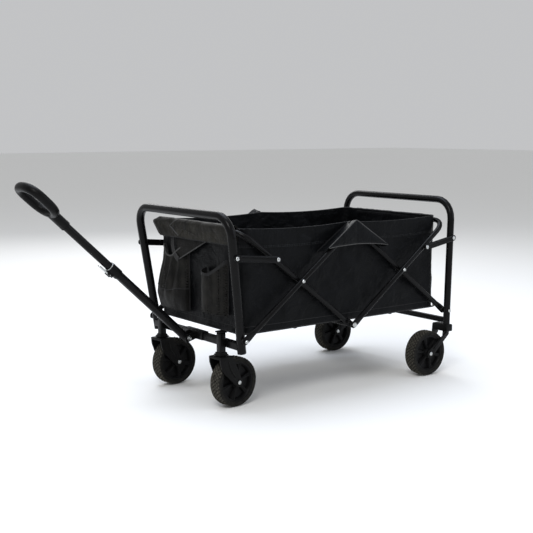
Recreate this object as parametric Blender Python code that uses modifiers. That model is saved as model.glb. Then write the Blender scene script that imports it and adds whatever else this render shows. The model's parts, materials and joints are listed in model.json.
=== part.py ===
"""Folding camp wagon: two end frames joined by a scissor on each side, a hung
fabric tub, two swivelling front casters, two fixed rear wheels and a
telescoping pull handle.

Metres, +Z up. The pull handle points to -X, the wagon stands on z = 0, and the
origin is on the floor below the middle of the whole outline.
"""
import math

import bmesh
import bpy
from mathutils import Matrix, Vector

# ---------------------------------------------------------------- driving sizes
GAP = 0.0003                 # air between pieces that touch
MID_X = 0.2583               # x of the middle of the bed

# scissor
HALF_ARM = 0.250             # pivot to pivot, half of each scissor arm
HALF_BED = 0.400             # middle of the bed to the leg pivots
PIVOT_Z = 0.205              # height of the leg pivots and of the bottom hubs
ARM_R = 0.008                # arm tube
INNER_Y = 0.2305             # middle of the inner layer of arms
LAYER_GAP = 0.001            # air between the two layers of arms
FLAT_T = 0.006               # thickness of an arm's flattened end
FLAT_W = 0.0215              # width of an arm's flattened end
BEND_R = 0.050               # bend of the two U-shaped arms
RIVET_R = 0.003
RIVET_HEAD_R = 0.0058
RIVET_HEAD_T = 0.003
HOLE_PLAY = 0.0004           # around every pivot pin

# front end frame
FRONT_TUBE_R = 0.0125
FRONT_TOP_Z = 0.550
FRONT_BEND_R = 0.055
FRONT_LEAN = 0.140           # forward, per metre of height
FRONT_SPLAY = 0.060          # outward, per metre of height
FRONT_FOOT_Z = 0.167
CROSS_W, CROSS_H = 0.020, 0.021
CROSS_Z = 0.187

# rear end frame
REAR_TUBE_R = 0.011
REAR_TOP_Z = 0.560
REAR_BEND_R = 0.060
REAR_LEAN = 0.027            # backward, per metre of height
REAR_U_SHORT = 0.0161        # the rear U-shaped arm stops short, to pass inside the top bar
REAR_CROSS_W = 0.016
REAR_CROSS_Z = 0.173

# links between the legs and the U-shaped arms
FRONT_LINK_Z = 0.438         # leg end
FRONT_LINK_ON_ARM = 0.11677  # arm end, measured up the arm from the crossing
REAR_LINK_Z = 0.441
REAR_LINK_ON_ARM = 0.10867
LINK_W, LINK_T = 0.019, 0.005

# wheels
WHEEL_R = 0.072
TREAD_W = 0.040
TYRE_DEPTH = 0.014           # tread to rim
AXLE_R = 0.004
BORE_R = 0.0044
HUB_LEN = 0.0405
FORK_GAP = 0.043             # between a fork's two arms
FORK_T = 0.004
CASTER_Y = 0.160
REAR_WHEEL_Y = 0.226
REAR_AXLE_X = 0.328
TRAIL = 0.045
CASTER_TURN = 6.0            # degrees, the way the casters stand at rest

# caster posts
POST_W = 0.020
POST_BOTTOM, POST_TOP = 0.153, 0.2185
STEM_R = 0.006

# pull handle
HANDLE_X, HANDLE_Z = 0.036, 0.181   # pivot, ahead of the leg pivots, and its height
HANDLE_ANGLE = 43.0          # degrees above level
LOWER_R, LOWER_BORE, LOWER_LEN = 0.0125, 0.0116, 0.325
UPPER_R = 0.01125
UPPER_START, UPPER_END = 0.222, 0.535
COLLAR_R, COLLAR_START, COLLAR_END = 0.0148, 0.298, 0.336
LATCH_PIN, LATCH_RISE = 0.321, 0.0036   # the lever's pin: along the handle, and off the collar
GRIP_START, GRIP_NECK, GRIP_END = 0.508, 0.556, 0.681
GRIP_W = 0.132
GRIP_TUBE = 0.0135

# tub
BAG_FRONT, BAG_REAR, BAG_HALF_W = 0.3915, 0.3787, 0.218   # from the middle of the bed
BAG_BOTTOM, BAG_TOP = 0.2136, 0.512
BAG_CORNER = 0.050
BAG_WALL = 0.003
POCKET_X, POCKET_Y, POCKET_W, POCKET_D = 0.0, -0.105, 0.112, 0.042
POCKET_BOTTOM, POCKET_TOP = 0.262, 0.392
POUCH_Y, POUCH_W, POUCH_D = 0.085, 0.190, 0.036
POUCH_BOTTOM, POUCH_TOP = 0.245, 0.440

# ---------------------------------------------------------------- worked out
OPEN = math.acos(HALF_BED / (2 * HALF_ARM))      # arm slope when the wagon stands open
ARM_COS, ARM_SIN = math.cos(OPEN), math.sin(OPEN)
OUTER_Y = INNER_Y + 2 * ARM_R + LAYER_GAP
TOP_Z = PIVOT_Z + 2 * HALF_ARM * ARM_SIN
CROSS_X_ARM = HALF_ARM * ARM_COS                 # crossings, from the middle
CROSSING_Z = PIVOT_Z + HALF_ARM * ARM_SIN
FRONT_LEG_Y = OUTER_Y - ARM_R - 0.0005 - FRONT_TUBE_R
REAR_LEG_Y = INNER_Y + ARM_R + 0.0005 + REAR_TUBE_R
POST_X = -HALF_BED - CROSS_W / 2 - GAP - POST_W / 2
AXIS = Vector((-math.cos(math.radians(HANDLE_ANGLE)), 0, math.sin(math.radians(HANDLE_ANGLE))))
UNDER = Vector((-AXIS.z, 0, AXIS.x))             # square to the handle, on its lower side
SIDES = (("right", -1), ("left", 1))             # right is -Y, the side seen with -X to the left


def at(x, y, z):
    """A place given from the middle of the bed."""
    return Vector((x + MID_X, y, z))


# ---------------------------------------------------------------- scene helpers
for old in list(bpy.data.objects):
    bpy.data.objects.remove(old, do_unlink=True)

parts = bpy.data.collections.new("folding_camp_wagon")
tools = bpy.data.collections.new("cutters")
bpy.context.scene.collection.children.link(parts)
bpy.context.scene.collection.children.link(tools)


def finish(name, colour, roughness, metallic):
    """A plain Principled material."""
    mat = bpy.data.materials.new(name)
    mat.use_nodes = True
    shader = mat.node_tree.nodes["Principled BSDF"]
    shader.inputs["Base Color"].default_value = (*colour, 1)
    shader.inputs["Roughness"].default_value = roughness
    shader.inputs["Metallic"].default_value = metallic
    return mat


FRAME = finish("black powder coat", (0.012, 0.012, 0.013), 0.45, 0.0)
PLASTIC = finish("black nylon", (0.010, 0.010, 0.011), 0.5, 0.0)
RUBBER = finish("tyre rubber", (0.018, 0.018, 0.018), 0.85, 0.0)
ZINC = finish("zinc plated steel", (0.62, 0.63, 0.62), 0.3, 1.0)
CLOTH = finish("black oxford cloth", (0.010, 0.011, 0.013), 0.8, 0.0)
MESH_CLOTH = finish("grey mesh cloth", (0.06, 0.06, 0.062), 0.9, 0.0)


def joint_empty(name, place, parent=None):
    """An empty that stands on a joint's axis and carries the pieces that move with it."""
    empty = bpy.data.objects.new(name, None)
    empty.location = place
    parts.objects.link(empty)
    bpy.context.view_layer.update()
    if parent:
        hold(empty, parent)
    return empty


def hold(obj, parent):
    bpy.context.view_layer.update()
    obj.parent = parent
    obj.matrix_parent_inverse = parent.matrix_world.inverted()


def from_mesh(name, bm, collection=parts):
    bmesh.ops.recalc_face_normals(bm, faces=bm.faces)
    mesh = bpy.data.meshes.new(name)
    bm.to_mesh(mesh)
    bm.free()
    mesh.shade_smooth()
    mesh.set_sharp_from_angle(angle=math.radians(35))
    obj = bpy.data.objects.new(name, mesh)
    collection.objects.link(obj)
    return obj


def place(obj, material, body):
    obj.data.materials.clear()
    obj.data.materials.append(material)
    hold_with_tools(obj, body)
    return obj


def hold_with_tools(obj, body):
    """Give a piece and everything that cuts or joins it to a body, so they move together."""
    hold(obj, body)
    for change in obj.modifiers:
        if change.type == "BOOLEAN":
            hold_with_tools(change.object, body)


def frame_along(direction):
    """A rotation whose Z runs along a direction."""
    return direction.to_track_quat("Z", "Y").to_matrix().to_4x4()


def rod(name, start, end, radius, sides=16, radius_end=None, collection=parts):
    """A round bar or a cone from one point to another."""
    bm = bmesh.new()
    run = end - start
    bmesh.ops.create_cone(bm, cap_ends=True, segments=sides, radius1=radius,
                          radius2=radius if radius_end is None else radius_end, depth=run.length,
                          matrix=Matrix.Translation((start + end) / 2) @ frame_along(run))
    return from_mesh(name, bm, collection)


def block(name, low, high, round_edge=0.0, collection=parts):
    """A box between two corners, with its edges rounded off."""
    bm = bmesh.new()
    size = high - low
    bmesh.ops.create_cube(bm, size=1.0, matrix=Matrix.Translation((low + high) / 2)
                          @ Matrix.Diagonal((*size, 1)))
    if round_edge:
        bmesh.ops.bevel(bm, geom=bm.edges[:], offset=round_edge, segments=1, affect="EDGES")
    return from_mesh(name, bm, collection)


def plate(name, outline, y_low, y_high, collection=parts):
    """A flat plate: an outline in X and Z, given the thickness between two y values."""
    bm = bmesh.new()
    near = [bm.verts.new((p.x, y_low, p.z)) for p in outline]
    face = bm.faces.new(near)
    moved = bmesh.ops.extrude_face_region(bm, geom=[face])["geom"]
    far = [v for v in moved if isinstance(v, bmesh.types.BMVert)]
    bmesh.ops.translate(bm, verts=far, vec=(0, y_high - y_low, 0))
    return from_mesh(name, bm, collection)


def turned(name, profile, centre, axis, steps):
    """A ring or disc turned about an axis: the profile is (radius, place along the axis)."""
    bm = bmesh.new()
    rows = []
    turn = Matrix.Translation(centre) @ frame_along(axis)
    for i in range(steps):
        angle = 2 * math.pi * i / steps
        rows.append([bm.verts.new(turn @ Vector((r * math.cos(angle), r * math.sin(angle), z)))
                     for r, z in profile])
    for row, following in zip(rows, rows[1:] + rows[:1]):
        for k in range(len(profile)):
            after = (k + 1) % len(profile)
            bm.faces.new((row[k], row[after], following[after], following[k]))
    return from_mesh(name, bm)


def spindle(name, profile, centre, axis, steps=16):
    """A solid turned about an axis: the profile is (radius, place along the axis), end to end."""
    bm = bmesh.new()
    turn = Matrix.Translation(centre) @ frame_along(axis)
    rings = []
    for r, z in profile:
        rings.append([bm.verts.new(turn @ Vector((r * math.cos(2 * math.pi * i / steps),
                                                  r * math.sin(2 * math.pi * i / steps), z)))
                      for i in range(steps)])
    for a, b in zip(rings, rings[1:]):
        for i in range(steps):
            j = (i + 1) % steps
            bm.faces.new((a[i], a[j], b[j], b[i]))
    bm.faces.new(rings[0])
    bm.faces.new(rings[-1])
    return from_mesh(name, bm)


def loft(name, stations, sides=16, closed=False):
    """A tube of changing section. Each station is (centre, direction, side, half width along
    side, half thickness), and the section is an ellipse."""
    bm = bmesh.new()
    rings = []
    for centre, direction, side, width, thick in stations:
        other = direction.cross(side).normalized()
        ring = []
        for i in range(sides):
            angle = 2 * math.pi * (i + 0.5) / sides
            ring.append(bm.verts.new(centre + side * width * math.cos(angle)
                                     + other * thick * math.sin(angle)))
        rings.append(ring)
    pairs = list(zip(rings, rings[1:]))
    if closed:
        pairs.append((rings[-1], rings[0]))
    for a, b in pairs:
        for i in range(sides):
            j = (i + 1) % sides
            bm.faces.new((a[i], a[j], b[j], b[i]))
    if not closed:
        bm.faces.new(rings[0])
        bm.faces.new(rings[-1])
    return from_mesh(name, bm)


def cut(obj, cutter, operation="DIFFERENCE"):
    """Cut a piece, or join to it, and keep the tool hidden."""
    change = obj.modifiers.new("cut", "BOOLEAN")
    change.operation = operation
    change.object = cutter
    cutter.hide_render = True
    cutter.display_type = "WIRE"
    return obj


def hole(obj, start, end, radius, sides=16):
    return cut(obj, rod(obj.name + "_hole", start, end, radius, sides, collection=tools))


def join(obj, other):
    """Weld another solid to this one; the other solid stays behind as a hidden tool."""
    parts.objects.unlink(other)
    tools.objects.link(other)
    return cut(obj, other, "UNION")


def hole_across(obj, x, z, y, half_length=0.03):
    """A pivot hole along Y."""
    return hole(obj, at(x, y - half_length, z), at(x, y + half_length, z), RIVET_R + HOLE_PLAY)


def bent_path(points, radius, steps=6):
    """A path through points with every inner corner rounded: (place, direction) pairs."""
    path = [(points[0], (points[1] - points[0]).normalized())]
    for before, corner, after in zip(points, points[1:], points[2:]):
        u, v = (before - corner).normalized(), (after - corner).normalized()
        half = u.angle(v) / 2
        back = radius / math.tan(half)
        middle = corner + (u + v).normalized() * radius / math.sin(half)
        start, end = corner + u * back - middle, corner + v * back - middle
        turn = start.cross(end).normalized()
        sweep = start.angle(end)
        for i in range(steps + 1):
            spoke = Matrix.Rotation(sweep * i / steps, 3, turn) @ start
            path.append((middle + spoke, turn.cross(spoke).normalized()))
    path.append((points[-1], (points[-1] - points[-2]).normalized()))
    return path


def tube(name, points, radius, bend, side, sides=16, steps=6):
    """A round tube bent through points; side is a direction square to the tube's plane."""
    return loft(name, [(p, d, side, radius, radius) for p, d in bent_path(points, bend, steps)], sides)


# ---------------------------------------------------------------- arms
END_PAST = FLAT_W / 2        # how far a flattened end runs past its pivot
FLAT_RUN = 0.018             # flat stretch inside the pivot
TAPER_RUN = 0.022            # from flat to round


def flat_end(pivot, direction, side, leaving):
    """Stations of a flattened, rounded arm end at a pivot. direction points up the arm."""
    half_w, half_t = FLAT_W / 2, FLAT_T / 2
    out = []
    for share in (0.0, 0.35, 0.75, 1.0):
        back = END_PAST * (1 - share)
        width = half_w * math.sqrt(max(0.06, 1 - (back / END_PAST) ** 2))
        out.append((pivot - direction * back, direction, side, width, half_t))
    out.append((pivot + direction * FLAT_RUN, direction, side, half_w, half_t))
    out.append((pivot + direction * (FLAT_RUN + TAPER_RUN), direction, side, ARM_R, ARM_R))
    return out if leaving else [(p, -d, s, w, t) for p, d, s, w, t in reversed(out)]


def boss(obj, x, z, y_from, y_to):
    """A round spacer welded to an arm's flattened end."""
    return join(obj, rod(obj.name + "_boss", at(x, y_from, z), at(x, y_to, z), FLAT_W / 2 - 0.002, 16))


def straight_arm(name, low, high, y, towards):
    """A scissor arm from its leg pivot up to the top centre pivot. towards is the side of
    the layer (+1 outward, -1 inward) on which its spacers lie."""
    s = 1 if y > 0 else -1
    bottom, top = at(low[0], y, low[1]), at(high[0], y, high[1])
    direction = (top - bottom).normalized()
    side = Vector((-direction.z, 0, direction.x))
    arm = loft(name, flat_end(bottom, direction, side, True)
               + flat_end(top, -direction, side, False))
    for x, z in (low, high):
        boss(arm, x, z, y + s * towards * (FLAT_T / 2 - 0.001), y + s * towards * ARM_R)
    middle = ((low[0] + high[0]) / 2, (low[1] + high[1]) / 2)
    for x, z in (low, middle, high):
        hole_across(arm, x, z, y)
    return arm


def u_arm(name, direction_x, y, towards, short=0.0):
    """Both sides of a U-shaped arm with the top bar that joins them: from the bottom hub on
    one side, up through the crossing, across the end of the tub and down again."""
    hub = {s: at(0, s * y, PIVOT_Z) for s in (-1, 1)}
    length = 2 * HALF_ARM - short
    corner = {s: at(direction_x * length * ARM_COS, s * y, PIVOT_Z + length * ARM_SIN)
              for s in (-1, 1)}
    up = (corner[-1] - hub[-1]).normalized()
    side = Vector((-up.z, 0, up.x))
    start = hub[-1] + up * (FLAT_RUN + TAPER_RUN)
    end = hub[1] + up * (FLAT_RUN + TAPER_RUN)
    path = bent_path([start, corner[-1], corner[1], end], BEND_R)
    stations = flat_end(hub[-1], up, side, True)
    stations += [(p, d, side, ARM_R, ARM_R) for p, d in path[1:-1]]
    stations += flat_end(hub[1], up, side, False)
    arm = loft(name, stations)
    for s in (-1, 1):
        low, high = y + towards * (FLAT_T / 2 - 0.001), y + towards * ARM_R
        boss(arm, 0, PIVOT_Z, s * low, s * high)
        hole_across(arm, 0, PIVOT_Z, s * y)
        hole_across(arm, direction_x * CROSS_X_ARM, CROSSING_Z, s * y)
    return arm


def rivet(name, x, z, y_inside, y_outside, side):
    """A pin with a domed head outside and a flat one inside."""
    r, head = RIVET_HEAD_R, RIVET_HEAD_T
    profile = [(r, y_inside - head * 0.8), (r, y_inside), (RIVET_R, y_inside), (RIVET_R, y_outside),
               (r, y_outside), (r * 0.93, y_outside + head * 0.4), (r * 0.55, y_outside + head)]
    return spindle(name, profile, at(x, 0, z), Vector((0, side, 0)))


def link(name, leg, arm, leg_y, y_plate, arm_y, side):
    """A short strap from a leg to a U-shaped arm. Its leg rivet turns in the leg, and the
    rivet at its free end stops short of the arm's face."""
    a, b = at(leg[0], 0, leg[1]), at(arm[0], 0, arm[1])
    along = (b - a).normalized()
    across = Vector((-along.z, 0, along.x))
    half, outline = LINK_W / 2, []
    for centre, start in ((b, -90), (a, 90)):
        for i in range(7):
            angle = math.radians(start + 30 * i)
            outline.append(centre + along * half * math.cos(angle) + across * half * math.sin(angle))
    low, high = sorted((side * y_plate, side * (y_plate + LINK_T)))
    strap = plate(name, outline, low, high)
    outside = side * (y_plate + LINK_T)
    for (x, z), depth in ((leg, leg_y), (arm, arm_y)):
        join(strap, rod(name + "_rivet", at(x, side * depth, z), at(x, outside, z), RIVET_R, 12))
        join(strap, rod(name + "_head", at(x, outside - side * 0.001, z),
                        at(x, outside + side * RIVET_HEAD_T, z), RIVET_HEAD_R, 16,
                        radius_end=RIVET_HEAD_R * 0.55))
    join(strap, rod(name + "_spacer", at(arm[0], side * arm_y, arm[1]),
                    at(arm[0], side * (y_plate + 0.001), arm[1]), RIVET_HEAD_R, 12))
    return strap


# ---------------------------------------------------------------- front end frame
front = joint_empty("front_frame", at(-HALF_BED, 0, 0))


def front_leg(z, s):
    """Centre of a front leg at a height."""
    rise = z - PIVOT_Z
    return at(-HALF_BED - FRONT_LEAN * rise, s * (FRONT_LEG_Y + FRONT_SPLAY * rise), z)


def rear_leg(z, s):
    """Centre of a rear leg at a height."""
    return at(HALF_BED + REAR_LEAN * (z - PIVOT_Z), s * REAR_LEG_Y, z)


def make_front_frame():
    points = [front_leg(FRONT_FOOT_Z, -1), front_leg(FRONT_TOP_Z, -1),
              front_leg(FRONT_TOP_Z, 1), front_leg(FRONT_FOOT_Z, 1)]
    square = Vector((1, 0, FRONT_LEAN)).normalized()
    portal = tube("front_portal", points, FRONT_TUBE_R, FRONT_BEND_R, square)
    for s in (-1, 1):
        hole_across(portal, -HALF_BED, PIVOT_Z, s * FRONT_LEG_Y)
        leg = front_leg(FRONT_LINK_Z, s)
        hole_across(portal, leg.x - MID_X, leg.z, leg.y)
    place(portal, FRAME, front)

    reach = abs(front_leg(CROSS_Z, 1).y)
    cross = block("front_cross_tube",
                  at(-HALF_BED - CROSS_W / 2, -reach, CROSS_Z - CROSS_H / 2),
                  at(-HALF_BED + CROSS_W / 2, reach, CROSS_Z + CROSS_H / 2), 0.0015)
    for s in (-1, 1):                                # the tube's ends are coped to the round legs
        hole(cross, front_leg(CROSS_Z - 0.03, s), front_leg(CROSS_Z + 0.03, s),
             FRONT_TUBE_R + GAP, 24)
        trim = block("cross_trim", at(-HALF_BED - 0.03, s * reach, 0.1),
                     at(-HALF_BED + 0.03, s * (reach + 0.05), 0.3), collection=tools)
        cut(cross, trim)
    place(cross, FRAME, front)

    for name, s in SIDES:
        y = s * CASTER_Y
        post = block("caster_post_" + name, at(POST_X - POST_W / 2, y - POST_W / 2, POST_BOTTOM),
                     at(POST_X + POST_W / 2, y + POST_W / 2, POST_TOP), 0.002)
        hole(post, at(POST_X, y, POST_BOTTOM - 0.01), at(POST_X, y, POST_BOTTOM + 0.030),
             STEM_R + HOLE_PLAY, 20)
        place(post, FRAME, front)
        lip = 0.003
        cap = block("post_cap_" + name,
                    at(POST_X - POST_W / 2 - lip, y - POST_W / 2 - lip, POST_TOP + GAP),
                    at(POST_X + POST_W / 2 + lip, y + POST_W / 2 + lip, POST_TOP + GAP + 0.005), 0.0015)
        place(cap, PLASTIC, front)
        bolt = rivet("front_pivot_rivet_" + name, -HALF_BED, PIVOT_Z,
                     FRONT_LEG_Y - FRONT_TUBE_R - 0.0005, OUTER_Y + ARM_R + 0.0005, s)
        place(bolt, ZINC, front)


def make_handle_bracket():
    """A saddle over the cross tube with two ears that carry the handle's bolt."""
    half, ear, thick = 0.052, LOWER_R + 0.0015, 0.003
    face = -HALF_BED - CROSS_W / 2 - GAP
    roof = CROSS_Z + CROSS_H / 2 + GAP
    saddle = block("handle_bracket", at(face - thick, -half, CROSS_Z - CROSS_H / 2),
                   at(face, half, roof + thick), 0.0008)
    join(saddle, block("saddle_roof", at(face - thick, -half, roof),
                       at(-HALF_BED + CROSS_W / 2, half, roof + thick), 0.0008))
    pin_x, r = -HALF_BED - HANDLE_X, 0.0125
    outline = [at(face, 0, roof + thick * 0.5), at(face, 0, CROSS_Z - CROSS_H / 2 + 0.0005)]
    for i in range(9):
        angle = math.radians(-100 - 22 * i)
        outline.append(at(pin_x + r * math.cos(angle), 0, HANDLE_Z + r * math.sin(angle)))
    for s in (-1, 1):
        low, high = sorted((s * ear, s * (ear + thick)))
        join(saddle, plate("ear", outline, low, high))
    hole(saddle, at(pin_x, -0.04, HANDLE_Z), at(pin_x, 0.04, HANDLE_Z), AXLE_R + GAP)
    place(saddle, FRAME, front)
    reach, nut = ear + thick + 0.0004, 0.007
    profile = [(nut, -reach - 0.004), (nut, -reach), (AXLE_R, -reach), (AXLE_R, reach), (nut, reach),
               (nut, reach + 0.004)]
    place(spindle("handle_bolt", profile, at(pin_x, 0, HANDLE_Z), Vector((0, 1, 0)), 12), ZINC, front)


# ---------------------------------------------------------------- wheels and forks
def wheel(name, centre, axis, body):
    """A tyre with rounded shoulders on a dished hub."""
    rim = WHEEL_R - TYRE_DEPTH
    half = TREAD_W / 2
    tyre = [(WHEEL_R, half * 0.55), (WHEEL_R, -half * 0.55), (WHEEL_R - 0.004, -half),
            (rim, -half * 0.92), (rim, half * 0.92), (WHEEL_R - 0.004, half)]
    place(turned("tyre_" + name, tyre, centre, axis, 32), RUBBER, body)
    seat, lip, web, core = rim - GAP, rim - 0.0055, 0.003, 0.0135
    hub = [(seat, half * 0.9), (seat, -half * 0.9), (lip, -half * 0.9), (lip - 0.002, -web),
           (core, -web - 0.006), (core - 0.002, -HUB_LEN / 2), (BORE_R, -HUB_LEN / 2),
           (BORE_R, HUB_LEN / 2), (core - 0.002, HUB_LEN / 2), (core, web + 0.006),
           (lip - 0.002, web), (lip, half * 0.9)]
    place(turned("hub_" + name, hub, centre, axis, 32), PLASTIC, body)


def axle_bolt(name, x, z, y, body):
    reach, nut = FORK_GAP / 2 + FORK_T + 0.0004, 0.0062
    profile = [(0.0045, -reach - 0.0034), (nut, -reach - 0.0024), (nut, -reach), (AXLE_R, -reach),
               (AXLE_R, reach), (nut, reach), (nut, reach + 0.0024), (0.0045, reach + 0.0034)]
    return place(spindle("axle_bolt_" + name, profile, at(x, y, z), Vector((0, 1, 0))), ZINC, body)


def make_caster(name, s, steer, spin):
    y, top = s * CASTER_Y, POST_BOTTOM - 0.0005
    axle_x, crown_t = POST_X + TRAIL, 0.007
    half = FORK_GAP / 2 + FORK_T
    fork = block("caster_fork_" + name, at(POST_X - 0.024, y - half, top - crown_t),
                 at(POST_X + 0.022, y + half, top), 0.0015)
    outline = [at(POST_X + 0.022, 0, top - 0.001), at(POST_X - 0.024, 0, top - 0.001),
               at(POST_X - 0.022, 0, top - 0.020), at(POST_X - 0.012, 0, top - 0.046)]
    centre = at(axle_x, 0, WHEEL_R)
    for i in range(9):
        angle = math.radians(215 + 24 * i)
        outline.append(centre + Vector((math.cos(angle), 0, math.sin(angle))) * 0.0135)
    for side in (-1, 1):
        low, high = sorted((y + side * FORK_GAP / 2, y + side * half))
        join(fork, plate("fork_arm", outline, low, high))
    join(fork, rod("stem", at(POST_X, y, top - 0.003), at(POST_X, y, POST_BOTTOM + 0.027), STEM_R, 20))
    hole(fork, at(axle_x, y - 0.04, WHEEL_R), at(axle_x, y + 0.04, WHEEL_R), AXLE_R + GAP)
    place(fork, PLASTIC, steer)
    axle_bolt("front_" + name, axle_x, WHEEL_R, y, steer)
    wheel("front_" + name, at(axle_x, y, WHEEL_R), Vector((0, 1, 0)), spin)


def make_rear_fork(name, s, body, spin):
    """A fixed fork: a socket on the leg's foot, a bridge over the wheel and two arms."""
    y, leg_y = s * REAR_WHEEL_Y, s * REAR_LEG_Y
    half = FORK_GAP / 2 + FORK_T
    foot = 0.160
    bridge_low, socket_low = foot - 0.022, foot - 0.030
    low, high = sorted((y - s * half, leg_y + s * 0.014))
    fork = block("rear_fork_" + name, at(HALF_BED - 0.014, low, bridge_low),
                 at(HALF_BED + 0.014, high, foot), 0.002)
    arm = [at(HALF_BED + 0.0135, 0, foot - 0.004), at(HALF_BED - 0.0135, 0, foot - 0.004),
           at(HALF_BED - 0.016, 0, socket_low - 0.006)]
    centre = at(REAR_AXLE_X, 0, WHEEL_R)
    for i in range(9):
        angle = math.radians(130 + 21 * i)
        arm.append(centre + Vector((math.cos(angle), 0, math.sin(angle))) * 0.0135)
    arm.append(at(HALF_BED + 0.010, 0, socket_low - 0.004))
    for side in (-1, 1):
        a, b = sorted((y + side * FORK_GAP / 2, y + side * half))
        join(fork, plate("fork_arm", arm, a, b))
    hole(fork, at(REAR_AXLE_X, y - 0.04, WHEEL_R), at(REAR_AXLE_X, y + 0.04, WHEEL_R), AXLE_R + GAP)
    place(fork, PLASTIC, body)
    axle_bolt("rear_" + name, REAR_AXLE_X, WHEEL_R, y, body)
    wheel("rear_" + name, at(REAR_AXLE_X, y, WHEEL_R), Vector((0, 1, 0)), spin)


def turn_caster(steer, x, y):
    """Swing a caster about its post to the way it stands at rest."""
    spot = at(x, y, 0)
    steer.matrix_world = (Matrix.Translation(spot) @ Matrix.Rotation(math.radians(CASTER_TURN), 4, "Z")
                          @ Matrix.Translation(-spot) @ steer.matrix_world)


# ---------------------------------------------------------------- rear end frame
def make_rear_frame(body):
    foot = 0.160 + GAP
    points = [rear_leg(foot, -1), rear_leg(REAR_TOP_Z, -1), rear_leg(REAR_TOP_Z, 1), rear_leg(foot, 1)]
    square = Vector((1, 0, -REAR_LEAN)).normalized()
    portal = tube("rear_portal", points, REAR_TUBE_R, REAR_BEND_R, square)
    for s in (-1, 1):
        hole_across(portal, HALF_BED, PIVOT_Z, s * REAR_LEG_Y)
        leg = rear_leg(REAR_LINK_Z, s)
        hole_across(portal, leg.x - MID_X, leg.z, leg.y)
    place(portal, FRAME, body)
    reach, w = REAR_LEG_Y, REAR_CROSS_W / 2
    cross = block("rear_cross_tube", at(HALF_BED - w, -reach, REAR_CROSS_Z - w),
                  at(HALF_BED + w, reach, REAR_CROSS_Z + w), 0.0015)
    for s in (-1, 1):
        hole(cross, rear_leg(REAR_CROSS_Z - 0.03, s), rear_leg(REAR_CROSS_Z + 0.03, s),
             REAR_TUBE_R + GAP, 24)
        trim = block("cross_trim", at(HALF_BED - 0.03, s * reach, 0.1),
                     at(HALF_BED + 0.03, s * (reach + 0.05), 0.3), collection=tools)
        cut(cross, trim)
    place(cross, FRAME, body)
    for name, s in SIDES:
        bolt = rivet("rear_pivot_rivet_" + name, HALF_BED, PIVOT_Z,
                     INNER_Y - ARM_R - 0.0005, REAR_LEG_Y + REAR_TUBE_R + 0.0005, s)
        place(bolt, ZINC, body)


# ---------------------------------------------------------------- scissor
def make_scissor(front_arms, front_u, rear_arms, rear_u):
    for name, s in SIDES:
        place(straight_arm("front_arm_" + name, (-HALF_BED, PIVOT_Z), (0, TOP_Z), s * OUTER_Y, -1),
              FRAME, front_arms)
        place(straight_arm("rear_arm_" + name, (HALF_BED, PIVOT_Z), (0, TOP_Z), s * INNER_Y, 1),
              FRAME, rear_arms)
        inside, outside = INNER_Y - ARM_R - 0.0005, OUTER_Y + ARM_R + 0.0005
        place(rivet("front_crossing_rivet_" + name, -CROSS_X_ARM, CROSSING_Z, inside, outside, s),
              ZINC, front_arms)
        place(rivet("rear_crossing_rivet_" + name, CROSS_X_ARM, CROSSING_Z, inside, outside, s),
              ZINC, rear_arms)
        place(rivet("top_centre_rivet_" + name, 0, TOP_Z, INNER_Y - FLAT_T / 2 - 0.0005,
                    OUTER_Y + FLAT_T / 2 + 0.0005, s), ZINC, front_arms)
        place(hub_bolt("bottom_hub_bolt_" + name, s), ZINC, front_u)
    place(u_arm("front_u_arm", -1, INNER_Y, 1), FRAME, front_u)
    place(u_arm("rear_u_arm", 1, OUTER_Y, -1, REAR_U_SHORT), FRAME, rear_u)
    half = INNER_Y - ARM_R - 0.001
    bar = rod("centre_cross_tube", at(0, -half, PIVOT_Z), at(0, half, PIVOT_Z), ARM_R, 16)
    for s in (-1, 1):
        hole(bar, at(0, s * (half - 0.020), PIVOT_Z), at(0, s * (half + 0.01), PIVOT_Z), RIVET_R + GAP)
    place(bar, FRAME, front_u)


def hub_bolt(name, s):
    """A bolt through both U-shaped arms into the end of the centre cross tube."""
    outside = OUTER_Y + FLAT_T / 2 + 0.0005
    profile = [(RIVET_R, INNER_Y - ARM_R - 0.018), (RIVET_R, outside), (0.008, outside),
               (0.008, outside + 0.002), (0.0055, outside + 0.004)]
    return spindle(name, profile, at(0, 0, PIVOT_Z), Vector((0, s, 0)))


def make_links(front_links, rear_links):
    for name, s in SIDES:
        leg = front_leg(FRONT_LINK_Z, 1)
        up = HALF_ARM + FRONT_LINK_ON_ARM
        arm = (-up * ARM_COS, PIVOT_Z + up * ARM_SIN)
        y_leg = leg.y + FRONT_TUBE_R
        place(link("front_link_" + name, (leg.x - MID_X, leg.z), arm, leg.y - FRONT_TUBE_R + 0.002,
                   y_leg + 0.0018, INNER_Y + ARM_R + 0.0005, s), FRAME, front_links)
        leg = rear_leg(REAR_LINK_Z, 1)
        up = HALF_ARM + REAR_LINK_ON_ARM
        arm = (up * ARM_COS, PIVOT_Z + up * ARM_SIN)
        y_leg = leg.y + REAR_TUBE_R
        place(link("rear_link_" + name, (leg.x - MID_X, leg.z), arm, leg.y - REAR_TUBE_R + 0.002,
                   y_leg + 0.0008, OUTER_Y + ARM_R + 0.0005, s), FRAME, rear_links)


# ---------------------------------------------------------------- pull handle
def along(distance, under=0.0, y=0.0):
    """A place on the handle: distance from its bolt, offset to its lower side and across."""
    return at(-HALF_BED - HANDLE_X, y, HANDLE_Z) + AXIS * distance + UNDER * under


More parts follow.
